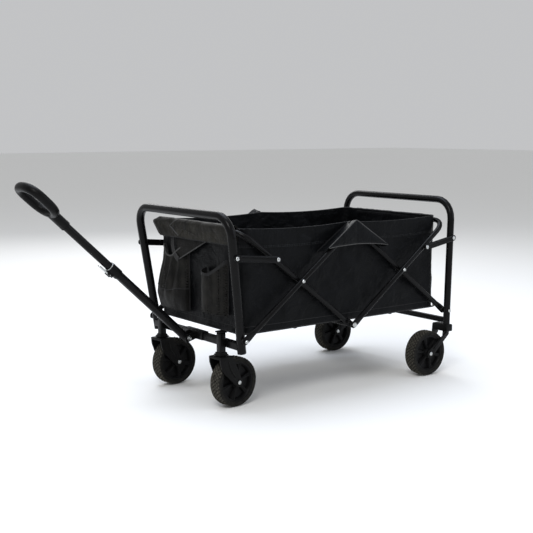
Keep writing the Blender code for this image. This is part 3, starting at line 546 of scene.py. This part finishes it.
def make_grip():
    """The D grip: an oval loop, thicker at the hand's bar, on a collared neck."""
    near, far = GRIP_NECK + GRIP_TUBE * 0.4, GRIP_END - GRIP_TUBE
    half_w, centre, half_l = GRIP_W / 2 - GRIP_TUBE, (near + far) / 2, (far - near) / 2
    steps, sides, rows = 72, 20, []
    spots = []
    for i in range(steps):
        angle = 2 * math.pi * i / steps
        c, s = math.cos(angle), math.sin(angle)
        spots.append((centre + half_l * math.copysign(abs(c) ** 0.75, c),
                      half_w * math.copysign(abs(s) ** 0.8, s) * (1 + 0.10 * c)))
    for i, (d, y) in enumerate(spots):
        (d0, y0), (d1, y1) = spots[i - 1], spots[(i + 1) % steps]
        run = (along(d1, y=y1) - along(d0, y=y0)).normalized()
        out = run.cross(HANDLE_UNDER).normalized()
        bar = max(0.0, math.cos(2 * math.pi * i / steps)) ** 2
        row = []
        for k in range(sides):
            turn = 2 * math.pi * k / sides
            wide, deep = 0.0118 + 0.0006 * bar, 0.0124 + 0.0009 * bar
            row.append(along(d, y=y) + out * wide * math.cos(turn)
                       + HANDLE_UNDER * deep * math.sin(turn))
        rows.append(row)
    rows.append(rows[0])
    loop = sheet_mesh("loop", rows, wrap=True)
    pick(loop)
    bpy.ops.object.mode_set(mode="EDIT")
    bpy.ops.mesh.select_all(action="SELECT")
    bpy.ops.mesh.remove_doubles(threshold=0.00001)
    bpy.ops.mesh.normals_make_consistent(inside=False)
    bpy.ops.object.mode_set(mode="OBJECT")
    turn = on_handle()
    deselect()
    bpy.ops.mesh.primitive_cylinder_add(vertices=40, radius=0.0139, depth=0.060, location=(0, 0, 0.538))
    neck = bpy.context.object
    bpy.ops.object.transform_apply(location=True)
    bpy.ops.object.mode_set(mode="EDIT")
    bpy.ops.mesh.select_all(action="DESELECT")
    faces_where(neck, lambda f: f.normal.z > 0.9)
    bpy.ops.transform.resize(value=(1.5, 1.0, 1.0), center_override=(0, 0, 0.568))
    faces_where(neck, lambda f: f.normal.z < -0.9)
    bpy.ops.mesh.inset(thickness=0.0040)
    bpy.ops.mesh.inset(thickness=0.0001, depth=-0.020)
    bpy.ops.object.mode_set(mode="OBJECT")
    neck.data.transform(turn)
    ring = []
    for d in (0.5105, 0.5165):
        deselect()
        bpy.ops.mesh.primitive_torus_add(major_radius=0.0138, minor_radius=0.0008, major_segments=40,
                                         minor_segments=10, location=(0, 0, d))
        bead = bpy.context.object
        bpy.ops.object.transform_apply(location=True)
        bead.data.transform(turn)
        ring.append(bead)
    settle(join_all([loop, neck] + ring), "grip_moulded", NYLON, "handle_upper",
           ("handle_grip",), smooth=40)


def make_handle_trim():
    """The upper tube with a groove down its top, and a bright ring on the collar."""
    turn = on_handle()
    deselect()
    start, end, radius = 0.222, 0.534, 0.01125
    bpy.ops.mesh.primitive_cylinder_add(vertices=48, radius=radius, depth=end - start,
                                        location=(0, 0, (start + end) / 2))
    stick = bpy.context.object
    bpy.ops.object.transform_apply(location=True)
    bpy.ops.object.mode_set(mode="EDIT")
    for side in (-1, 1):
        faces_where(stick, lambda f: abs(f.normal.z) < 0.1 and f.normal.y * side > 0.97)
        bpy.ops.mesh.inset(thickness=0.0005, depth=0.0)
        bpy.ops.mesh.inset(thickness=0.0004, depth=-0.0009)
    bpy.ops.object.mode_set(mode="OBJECT")
    stick.data.transform(turn)
    settle(stick, "upper_tube_grooved", POWDER_COAT, "handle_upper",
           ("handle_upper_tube",), smooth=25)
    deselect()
    bpy.ops.mesh.primitive_torus_add(major_radius=0.0134, minor_radius=0.0013, major_segments=48,
                                     minor_segments=12, location=(0, 0, 0.3352))
    ring = bpy.context.object
    bpy.ops.object.transform_apply(location=True)
    ring.data.transform(turn)
    settle(ring, "collar_ring", ZINC, "handle_lower")


# ------------------------------------------------------------------ tub
TUB_LOW, TUB_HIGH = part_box("fabric_tub")
BOTTOM, TOP = TUB_LOW.z + 0.0006, TUB_HIGH.z
FRONT_X, REAR_X, HALF_W = TUB_LOW.x + 0.0020, TUB_HIGH.x - 0.0022, TUB_HIGH.y - 0.0018
CORNER_R = 0.026
BAND_DEEP = 0.055


def outline(step=0.0055):
    """Points round the tub, each with its outward direction: front, right, rear and left."""
    out = []
    corners = ((FRONT_X, 1, 180, 90), (REAR_X, 1, 90, 0), (REAR_X, -1, 0, -90), (FRONT_X, -1, -90, -180))
    spots = []
    for x, sy, first, last in corners:
        cx = x + CORNER_R if x == FRONT_X else x - CORNER_R
        for i in range(9):
            angle = math.radians(first + (last - first) * i / 8)
            away = Vector((math.cos(angle), math.sin(angle), 0))
            spots.append((Vector((cx, sy * (HALF_W - CORNER_R), 0)) + away * CORNER_R, away))
    for (p, n), (q, m) in zip(spots, spots[1:] + spots[:1]):
        count = max(1, round((q - p).length / step))
        for i in range(count):
            out.append((p.lerp(q, i / count), n.lerp(m, i / count).normalized()))
    return out


OUTLINE = outline()


def hem_z(p):
    """Height of the tub's upper edge: it sags a little between what holds it."""
    x = p.x - MID_X
    if abs(p.y) < HALF_W - 0.03:
        return TOP - 0.001
    span = 0.37
    share = min(1.0, abs(x) / span)
    return TOP - 0.0065 * 4 * share * (1 - share)


def cloth_drift(p, v):
    """How far the wall stands proud of its flat place: soft creases, and drag lines that run
    down from the upper corners."""
    slack = math.sin(math.pi * min(1, max(0, v))) ** 0.6
    drift = 0.0050 * noise.noise(Vector((p.x * 9, p.y * 9, p.z * 6)))
    drift += 0.0030 * noise.noise(Vector((p.x * 24 + p.z * 14, p.y * 24, p.z * 15 + 5)))
    drift += 0.0012 * noise.noise(Vector((p.x * 60 - p.z * 30, p.y * 60, p.z * 36 + 9)))
    for corner_x in (FRONT_X, MID_X, REAR_X):
        dx, dz = p.x - corner_x, p.z - TOP
        reach = math.hypot(dx, dz)
        angle = math.atan2(dz, dx if abs(dx) > 1e-6 else 1e-6)
        drift += 0.0016 * math.sin(angle * 17) * math.exp(-reach / 0.11) * min(1, reach / 0.03)
    return min(0.0030, max(-0.008, drift - 0.0012)) * max(slack, 0.25 if v > 0.5 else 0.0)


def wall_point(p, away, v, out=0.0):
    z = BOTTOM + v * (hem_z(p) - BOTTOM)
    spot = Vector((p.x, p.y, z))
    tuck = 0.004 * max(0.0, 1 - v / 0.02) ** 2 if v < 0.02 else 0.0
    return spot + away * (cloth_drift(spot, v) + out - tuck)


def squashed(obj):
    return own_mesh(obj)


def soft(obj, name, material, replaces=(), smooth=60):
    settle(obj, name, material, "tub", replaces, smooth)
    return squashed(obj)


def make_tub():
    rows = []
    levels = 54
    for i in range(levels + 1):
        rows.append([wall_point(p, n, i / levels) for p, n in OUTLINE])
    wall = sheet_mesh("wall", rows, thick=0.0016, wrap=True, offset=0)
    soft(wall, "tub_wall", OXFORD, replaces=("fabric_tub",))
    make_floor()
    hem = [wall_point(p, n, 1.0) + Vector((0, 0, -0.0012)) for p, n in OUTLINE]
    soft(strip("hem", hem, 0.0019, closed=True), "tub_hem_binding", WEBBING)
    low = [wall_point(p, n, 0.012, 0.0006) for p, n in OUTLINE]
    soft(strip("piping", low, 0.0022, closed=True), "tub_bottom_piping", WEBBING)
    welt = [wall_point(p, n, 0.075, 0.0004) for p, n in OUTLINE]
    soft(strip("welt", welt, 0.0011, closed=True, sides=2), "tub_base_welt", WEBBING)


def make_floor():
    """A stiffened floor of four boards sewn in the cloth, with folds between them."""
    rows, nx, ny = [], 150, 44
    low_x, high_x, half = FRONT_X + 0.003, REAR_X - 0.003, HALF_W - 0.003
    folds = [low_x + (high_x - low_x) * k / 4 for k in (1, 2, 3)]
    for i in range(nx + 1):
        row = []
        x = low_x + (high_x - low_x) * i / nx
        groove = min(abs(x - f) for f in folds)
        for j in range(ny + 1):
            y = -half + 2 * half * j / ny
            z = BOTTOM + 0.0052 - 0.0030 * math.exp(-(groove / 0.005) ** 2)
            z += 0.0005 * noise.noise(Vector((x * 22, y * 22, 1)))
            edge = min(half - abs(y), x - low_x, high_x - x)
            z -= 0.0012 * math.exp(-edge / 0.006)
            row.append(Vector((x, y, z)))
        rows.append(row)
    floor = sheet_mesh("floor", rows, thick=0.0042, offset=-1)
    soft(floor, "tub_floor_boards", OXFORD)


def make_bands():
    """The upper edge is doubled: a band of cloth down both sides, with a stitched lower edge."""
    for name, s in SIDES:
        spots = [(p, n) for p, n in OUTLINE if p.y * s > HALF_W - CORNER_R * 0.7]
        spots.sort(key=lambda spot: spot[0].x)
        rows = []
        for i in range(13):
            rows.append([])
            for p, n in spots:
                height = hem_z(p) - BOTTOM
                v = 1 - (BAND_DEEP / height) * (1 - i / 12)
                rows[-1].append(wall_point(p, n, v, 0.0014))
        band = sheet_mesh("band", rows, thick=0.0010)
        soft(band, "side_band_" + name, OXFORD)


SLEEVE_SECTION = [(0.0152, -0.0380), (0.0145, -0.0285), (0.0139, -0.0190), (0.0136, -0.0090), (0.0136, 0.0)]
SLEEVE_SECTION += [(0.0136 * math.cos(math.radians(a)), 0.0160 * math.sin(math.radians(a)))
                   for a in range(18, 163, 16)]
SLEEVE_SECTION += [(-0.0122, -0.0060), (-0.0108, -0.0170), (-0.0098, -0.0330)]
FRONT_LINES = 11        # lines of the section before it turns down the back


def sleeve_point(bar, way, y, out, up, slack=1.0):
    """A place on a sleeve over a bar: creased more at its middle than where it is sewn."""
    p = bar + Vector((way * out, y, up))
    crease = noise.noise(Vector((y * 26, up * 60, 2.0 + way)))
    fine = noise.noise(Vector((y * 80, up * 110, 7.0)))
    drag = math.sin(y * 52 + up * 60 + 3 * crease)
    swell = (0.0022 * crease + 0.0010 * fine + 0.0008 * drag) * slack
    return p + Vector((way * swell * (1 if out > 0 else -0.3), 0, 0.4 * swell))


def sleeve(name, node, way, near_end, far_end, point, material):
    """A sleeve folded over a U-shaped arm's top bar and sewn to the tub, its skirt outside. Its far
    end runs out to a point, as the corner of a pillowcase does."""
    low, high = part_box(node)
    bar = Vector((low.x + 0.008 if way < 0 else high.x - 0.008, 0, high.z - 0.008))
    rows, steps = [], 130
    for k in range(steps + 1):
        share = k / steps
        row = []
        for m, (out, up) in enumerate(SLEEVE_SECTION):
            if m < FRONT_LINES:
                height = up / 0.016 if up > 0 else -up / 0.038
                ends = far_end + point * (1 - height) ** 0.9
            else:
                ends = far_end - 0.012
            y = -near_end + (ends + near_end) * share
            pinch = max(0.0, (share - 0.93) / 0.07) ** 1.5 if point else 0.0
            row.append(sleeve_point(bar, way, y, out * (1 - pinch) + 0.007 * pinch, up,
                                    0.5 + 0.8 * share))
        rows.append(row)
    piece = sheet_mesh(name, rows, thick=0.0011)
    modify(piece, "SUBSURF", levels=1, render_levels=1)
    return settle(piece, name, material, "tub", smooth=60), bar


def make_sleeves():
    front, bar = sleeve("front_sleeve", "front_u_arm", -1, 0.198, 0.190, 0.040, SLEEVE_CLOTH)
    arrow = [(0.080, 0.0150), (0.098, 0.0080), (0.118, -0.0060), (0.104, -0.0130), (0.084, -0.0240),
             (0.062, -0.0340)]
    fold = [(0.074, -0.0150), (0.058, -0.0125), (0.040, -0.0115), (0.020, -0.0150), (-0.004, -0.0200),
            (-0.026, -0.0235)]
    tie = [(0.040, -0.0115), (0.050, -0.0230), (0.062, -0.0340)]
    for k, line in enumerate((arrow, fold, tie)):
        points = []
        for (y0, u0), (y1, u1) in zip(line, line[1:]):
            for i in range(8):
                y, up = y0 + (y1 - y0) * i / 8, u0 + (u1 - u0) * i / 8
                if up > 0:
                    out = 0.0136 * math.cos(math.asin(min(1, up / 0.016)))
                else:
                    out = 0.0136 - up * 0.042
                slack = 0.5 + 0.8 * (y + 0.198) / 0.40
                points.append(sleeve_point(bar, -1, y, out, up, slack))
        # The first line, the arrow crease, is drawn pale grey: a painted highlight along its ridge. The other
        # lines keep the sleeve's cloth.
        settle(strip("ridge", points, 0.0017), f"front_sleeve_seam_{k}", WORN_BINDING_AND_PAINTED_HIGHLIGHT if k == 0 else SLEEVE_CLOTH,
               "tub")
    edge = [sleeve_point(bar, -1, y / 1000, 0.0156, -0.0378, 0.5 + 0.8 * (y / 1000 + 0.198) / 0.388)
            for y in range(-196, 173, 4)]
    settle(strip("edge", edge, 0.0010), "front_sleeve_hem", WEBBING, "tub")
    rear, bar = sleeve("rear_sleeve", "rear_u_arm", 1, 0.172, 0.172, 0.0, OXFORD)
    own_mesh(rear)


FLAP_APEX_Z = 0.5208


def flap_lines(t, s):
    """At t along the flap, -1 front to 1 rear: its seam on the wall, its ridge and its hem."""
    share = abs(t)
    if t < 0:
        wall_x, wall_z, ridge_x, ridge_z, ridge_y, sag = -0.119, 0.431, -0.111, 0.4450, 0.2600, 0.40
    else:
        wall_x, wall_z, ridge_x, ridge_z, ridge_y, sag = 0.136, 0.431, 0.125, 0.4385, 0.2575, 0.66
    x, z = ridge_x * share, FLAP_APEX_Z + (ridge_z - FLAP_APEX_Z) * share
    y = 0.2535 + (ridge_y - 0.2535) * share ** 0.7
    z -= 0.0016 * math.exp(-(share / 0.04) ** 2)
    wall = Vector((wall_x * share + MID_X, s * (HALF_W + 0.0016), 0.5120 + (wall_z - 0.5120) * share))
    ridge = Vector((x + MID_X, s * y, z))
    hem = Vector((x + MID_X, s * (y + 0.0014), min(z, 0.4490 - sag * x * x)))
    return wall, ridge, hem


def flap_point(t, s, v):
    """v runs 0 to 1 from the wall to the ridge, and 1 to 2 from the ridge down to the hem."""
    wall, ridge, hem = flap_lines(t, s)
    if v <= 1:
        p = wall.lerp(ridge, v)
        p.z -= 0.0035 * math.sin(math.pi * v) * abs(t)
        p.z += 0.0010 * noise.noise(Vector((p.x * 40, v * 4, 3 * s)))
        return p
    down = v - 1
    p = ridge.lerp(hem, down)
    p.y += s * (0.0018 * math.sin(math.pi * down) + 0.0014 * noise.noise(Vector((p.x * 30, p.z * 36, s))))
    return p


def make_flap(name, s):
    """The triangular pocket that covers the top centre pivot: a face outside the arms, and two
    gussets that run from its ridges back to the tub."""
    ts = [-1 + 2 * i / 72 for i in range(73)]
    rows = [[flap_point(t, s, v / 8) for v in range(9)] + [flap_point(t, s, 1 + v / 12) for v in range(1, 13)]
            for t in ts]
    pieces = [settle(sheet_mesh(name, rows, thick=0.0012), name, OXFORD, "tub", smooth=50)]
    # The ridge and hem welts get the pale grey binding: a painted highlight where they catch the light. The seam
    # stays black webbing.
    for welt, v, radius in (("ridge", 1.0, 0.0014), ("hem", 2.0, 0.0015), ("seam", 0.0, 0.0013)):
        line = strip("line", [flap_point(t, s, v) for t in ts], radius)
        pieces.append(settle(line, f"{name}_{welt}", WEBBING if welt == "seam" else WORN_BINDING_AND_PAINTED_HIGHLIGHT, "tub"))
    out = Vector((0, s, 0.4)).normalized()
    for k, v in enumerate((0.72, 0.86, 1.0)):
        line = [flap_point(t, s, v) + out * 0.0009 for t in ts] if v < 1 else [
            flap_point(t, s, 1) + Vector((0, s * 0.0010, -0.0045)) for t in ts if abs(t) < 0.93]
        pieces.append(settle(stitches("run", line, out), f"{name}_stitching_{k}", THREAD, "tub"))
    line = [flap_point(t, s, 2) + Vector((0, s * 0.0010, 0.0042)) for t in ts if abs(t) < 0.93]
    pieces.append(settle(stitches("run", line, Vector((0, s, 0))), f"{name}_stitching_3", THREAD, "tub"))
    for piece in pieces:
        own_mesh(piece)


def stitches(name, points, away, pitch=0.0062, length=0.0040, width=0.00065):
    """A row of short threads along a line."""
    bm = bmesh.new()
    carried = 0.0
    for a, b in zip(points, points[1:]):
        run = b - a
        if run.length < 1e-6:
            continue
        way = run.normalized()
        across = way.cross(away).normalized()
        while carried < run.length:
            c = a + way * carried
            ends = [bm.verts.new(c - way * length / 2), bm.verts.new(c + way * length / 2)]
            belt = [bm.verts.new(c + across * width), bm.verts.new(c + away * width),
                    bm.verts.new(c - across * width), bm.verts.new(c - away * width)]
            for k in range(4):
                bm.faces.new((ends[0], belt[k], belt[(k + 1) % 4]))
                bm.faces.new((ends[1], belt[(k + 1) % 4], belt[k]))
            carried += pitch
        carried -= run.length
    return loose_mesh(name, bm)


def make_band_stitching():
    for name, s in SIDES:
        spots = [(p, n) for p, n in OUTLINE if p.y * s > HALF_W - CORNER_R * 0.6]
        spots.sort(key=lambda spot: spot[0].x)
        for k, deep in enumerate((BAND_DEEP - 0.004, BAND_DEEP - 0.008)):
            line = []
            for p, n in spots:
                v = 1 - deep / (hem_z(p) - BOTTOM)
                line.append(wall_point(p, n, v, 0.0021))
            soft(stitches("run", line, Vector((0, s, 0))), f"band_stitching_{k}_{name}", THREAD)


def on_tub(obj, name, material, replaces=(), smooth=60):
    return settle(obj, name, material, "tub", replaces, smooth)


def make_bottle_net():
    """A net pocket held round by its own stiffness, with a broad elastic hem that climbs to the
    near side."""
    low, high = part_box("bottle_pocket")
    back, depth = high.x - 0.0006, high.x - low.x + 0.006
    far_y, near_y, foot = high.y - 0.002, low.y + 0.002, low.z + 0.001
    mouth_z = high.z

    def spot(u, v):
        top = mouth_z - 0.003 - 0.006 * math.sin(math.pi * u) + 0.034 * max(0.0, (u - 0.6) / 0.4) ** 1.6
        out = depth * math.sin(math.pi * u) ** 0.6
        out *= 0.93 + 0.07 * math.sin(2.4 * v + 0.3)
        out *= 1 - 0.50 * max(0.0, 1 - v / 0.07) ** 2
        crimp = 0.0008 * math.sin(u * 75) * max(0.0, 1 - v / 0.25) + 0.0011 * noise.noise(
            Vector((u * 9, v * 6, 3)))
        return Vector((back - max(0.0006, out + crimp * math.sin(math.pi * u)), far_y + (near_y - far_y) * u,
                       foot + (top - foot) * v))

    us = [i / 84 for i in range(85)]
    rows = [[Vector((back - 0.0006, spot(u, 0).y, foot)) for u in us]]
    rows += [[spot(u, j / 36) for u in us] for j in range(37)]
    net = on_tub(sheet_mesh("net", rows, thick=0.0009), "bottle_net", NET, ("bottle_pocket",))
    hem = [[spot(u, v) + Vector((-0.0009 - 0.0004 * math.sin(u * 240), 0, 0)) for u in us]
           for v in (0.928, 0.945, 0.965, 0.985, 1.004)]
    hem = on_tub(sheet_mesh("hem", hem, thick=0.0018), "bottle_net_hem", WEBBING)
    for piece in (net, hem):
        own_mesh(piece)
    sides = [Vector((back - 0.001, far_y, mouth_z - 0.004)), Vector((back - 0.001, far_y, foot)),
             Vector((back - 0.001, near_y, foot)), Vector((back - 0.001, near_y, mouth_z + 0.028))]
    on_tub(strip("binding", sides, 0.0014), "bottle_net_binding", WEBBING)


def make_front_pouch():
    """A gathered net pouch on a cloth base: its bound mouth hangs in a U, and its folds fan out
    from the mouth to the seam above the base."""
    low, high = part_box("front_pouch")
    back, depth = high.x - 0.0006, high.x - low.x - 0.002
    far_y, near_y, foot, seam = high.y + 0.010, low.y + 0.052, low.z + 0.002, 0.36

    def spot(u, v):
        top = high.z - 0.004 - 0.029 * math.sin(math.pi * min(1, u / 0.82)) ** 1.2
        full = 0.42 + 0.58 * math.sin(math.pi * (0.5 + 0.42 * max(0.0, v - 0.3) / 0.7))
        if v < 0.3:
            full = 0.62 + 0.38 * math.sin(math.pi / 2 * v / 0.3)
        low_down = max(0.0, 1 - abs(v - 0.22) / 0.55)
        belly = math.sin(math.pi * u) ** (0.5 - 0.28 * low_down)
        fan = u + 0.16 * (1 - v) * math.sin(math.pi * u)
        fold = math.sin(2 * math.pi * 3.6 * fan + 0.7)
        fold = math.copysign(abs(fold) ** 1.4, fold)
        reach = math.sin(math.pi * min(1, max(0.0, (v - 0.30) / 0.70)) ** 0.7) if v > 0.30 else 0.0
        out = depth * belly * full + belly * (0.0060 * fold * reach
                                               + 0.0035 * noise.noise(Vector((u * 6, v * 4, 1.5))))
        spread = 0.016 * low_down * (1 - u) ** 2 - 0.010 * v * (1 - u) ** 2
        return Vector((back - max(0.0006, min(out, depth + 0.006)), far_y + spread + (near_y - far_y) * u,
                       foot + (top - foot) * v))

    us = [i / 96 for i in range(97)]
    base = [[Vector((back - 0.0006, spot(u, 0).y, foot)) for u in us]]
    base += [[spot(u, seam * j / 14) for u in us] for j in range(15)]
    on_tub(sheet_mesh("base", base, thick=0.0010), "front_pouch_base", POUCH_CLOTH,
           ("front_pouch",))
    net = [[spot(u, seam + (1 - seam) * j / 34) for u in us] for j in range(35)]
    on_tub(sheet_mesh("net", net, thick=0.0009), "front_pouch_net", NET)
    mouth = [spot(u, 1.0) for u in us]
    on_tub(strip("mouth", mouth, 0.0024), "front_pouch_mouth", WORN_BINDING_AND_PAINTED_HIGHLIGHT)
    line = [spot(u, seam) + Vector((-0.0006, 0, 0)) for u in us]
    on_tub(strip("line", line, 0.0013), "front_pouch_seam", WEBBING)
    sides = [spot(0, 1 - k / 12) for k in range(13)] + [spot(1, k / 12) for k in range(13)]
    on_tub(strip("binding", sides, 0.0015), "front_pouch_binding", WEBBING)


def make_hanging_flap():
    """A bound three-cornered flap below the front sleeve, and the webbing loop on its far edge."""
    x = FRONT_X - 0.0105
    far, near, tip = Vector((x, 0.106, 0.468)), Vector((x, -0.064, 0.468)), Vector((x - 0.014, 0.067, 0.403))
    rows = []
    for k in range(25):
        share = k / 24
        a, b = far.lerp(tip, share), near.lerp(tip, share)
        row = []
        for i in range(31):
            p = a.lerp(b, i / 30)
            p.x -= 0.0035 * math.sin(math.pi * i / 30) * (1 - share)
            p.x -= 0.0020 * noise.noise(Vector((p.y * 30, p.z * 30, 8))) * math.sin(math.pi * min(1, i / 30))
            row.append(p)
        rows.append(row)
    edge = [row[-1] for row in rows]
    flap_rows = rows[:-1] + [[tip + Vector((0, -0.0005 * i / 30, 0)) for i in range(31)]]
    on_tub(sheet_mesh("flap", flap_rows, thick=0.0012), "front_flap", POUCH_CLOTH)
    on_tub(strip("edge", edge, 0.0018), "front_flap_binding", WORN_BINDING_AND_PAINTED_HIGHLIGHT)
    peg = [(0.116, 0.470), (0.114, 0.456), (0.110, 0.442), (0.102, 0.428), (0.090, 0.415), (0.077, 0.406),
           (0.066, 0.4025)]
    loop = [Vector((x - 0.004 - 0.012 * (0.470 - z) / 0.068, y, z)) for y, z in peg]
    on_tub(ribbon("loop", loop, Vector((-1, 0, 0)), 0.0150), "front_strap_loop", WEBBING)
    for side in (-1, 1):
        rim = []
        for i, p in enumerate(loop):
            run = (loop[min(i + 1, len(loop) - 1)] - loop[max(i - 1, 0)]).normalized()
            rim.append(p + run.cross(Vector((-1, 0, 0))) * 0.0072 * side + Vector((-0.0009, 0, 0)))
        on_tub(strip("rim", rim, 0.0007), f"front_strap_edge_{(side + 1) // 2}", WORN_BINDING_AND_PAINTED_HIGHLIGHT)


def ribbon(name, points, face, width):
    """A flat webbing strap through points; face is the way its broad side looks at each."""
    rows = []
    for i, p in enumerate(points):
        run = (points[min(i + 1, len(points) - 1)] - points[max(i - 1, 0)]).normalized()
        across = run.cross(face).normalized() * width / 2
        rows.append([p - across, p - across * 0.5 + face * 0.0002, p + across * 0.5 + face * 0.0002,
                     p + across])
    return sheet_mesh(name, rows, thick=0.0014)


def make_ties():
    """Light tape ties at the lower rear corners."""
    for name, s in SIDES:
        tie = [Vector((REAR_X - 0.010, s * (HALF_W + 0.0015), BOTTOM + 0.006)),
               Vector((REAR_X + 0.004, s * (HALF_W + 0.0010), BOTTOM + 0.009)),
               Vector((REAR_X + 0.0105, s * (HALF_W - 0.004), BOTTOM + 0.015))]
        tape = ribbon("tie", tie, Vector((0.3, s, 0)).normalized(), 0.010)
        on_tub(tape, "corner_tie_" + name, GREY_TAPE)
        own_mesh(tape)


def declare_cloth():
    """Only defines a helper that looks a sewn sheet up by name; nothing is declared."""
    def piece(name):
        return bpy.data.objects[name]


# ------------------------------------------------------------------ setting
def make_setting():
    deselect()
    bpy.ops.mesh.primitive_plane_add(size=60)
    floor = bpy.context.object
    floor.name = "studio_floor"
    pale = bpy.data.materials.new("studio_paper")
    pale.use_nodes = True
    shader = pale.node_tree.nodes["Principled BSDF"]
    shader.inputs["Base Color"].default_value = linear(0xF1F1EF)
    shader.inputs["Roughness"].default_value = 0.9
    floor.data.materials.append(pale)
    world = bpy.data.worlds.new("studio")
    bpy.context.scene.world = world
    world.use_nodes = True
    world.node_tree.nodes["Background"].inputs["Color"].default_value = linear(0xF4F5F7)
    world.node_tree.nodes["Background"].inputs["Strength"].default_value = 0.60
    for name, spot, power, size, colour in (
            ("key", (-2.4, -2.2, 3.4), 82, 1.5, 0xFFFFFF),
            ("fill", (2.8, -3.0, 1.8), 24, 2.0, 0xE4EDFF),
            ("top", (0.2, 0.6, 3.4), 80, 2.6, 0xE8F0FF),
            ("back", (1.5, 3.2, 2.4), 34, 2.0, 0xFFFFFF)):
        lamp = bpy.data.lights.new(name, "AREA")
        lamp.energy, lamp.size, lamp.color = power, size, linear(colour)[:3]
        light = bpy.data.objects.new(name, lamp)
        light.location = spot
        light.rotation_euler = (Vector((0, 0, 0.35)) - Vector(spot)).to_track_quat("-Z", "Y").to_euler()
        bpy.context.scene.collection.objects.link(light)
    bpy.context.scene.view_settings.view_transform = "Standard"
    camera = bpy.data.cameras.new("camera")
    camera.sensor_width, camera.lens = 36, 67.05
    view = bpy.data.objects.new("camera", camera)
    view.location = at(-1.963, -2.419, 0.781)
    view.rotation_euler = (math.radians(90 - 7.82), 0, math.radians(53.0 - 90))
    bpy.context.scene.collection.objects.link(view)
    bpy.context.scene.camera = view


make_setting()
make_frame()
make_link_rivets()
make_post_collars()
make_wheels()
fork_ribs()
make_grip()
make_handle_trim()
make_tub()
make_bands()
make_band_stitching()
make_sleeves()
for flap_side, flap_s in SIDES:
    make_flap("centre_flap_" + flap_side, flap_s)
make_bottle_net()
make_front_pouch()
make_hanging_flap()
make_ties()
declare_cloth()
deselect()
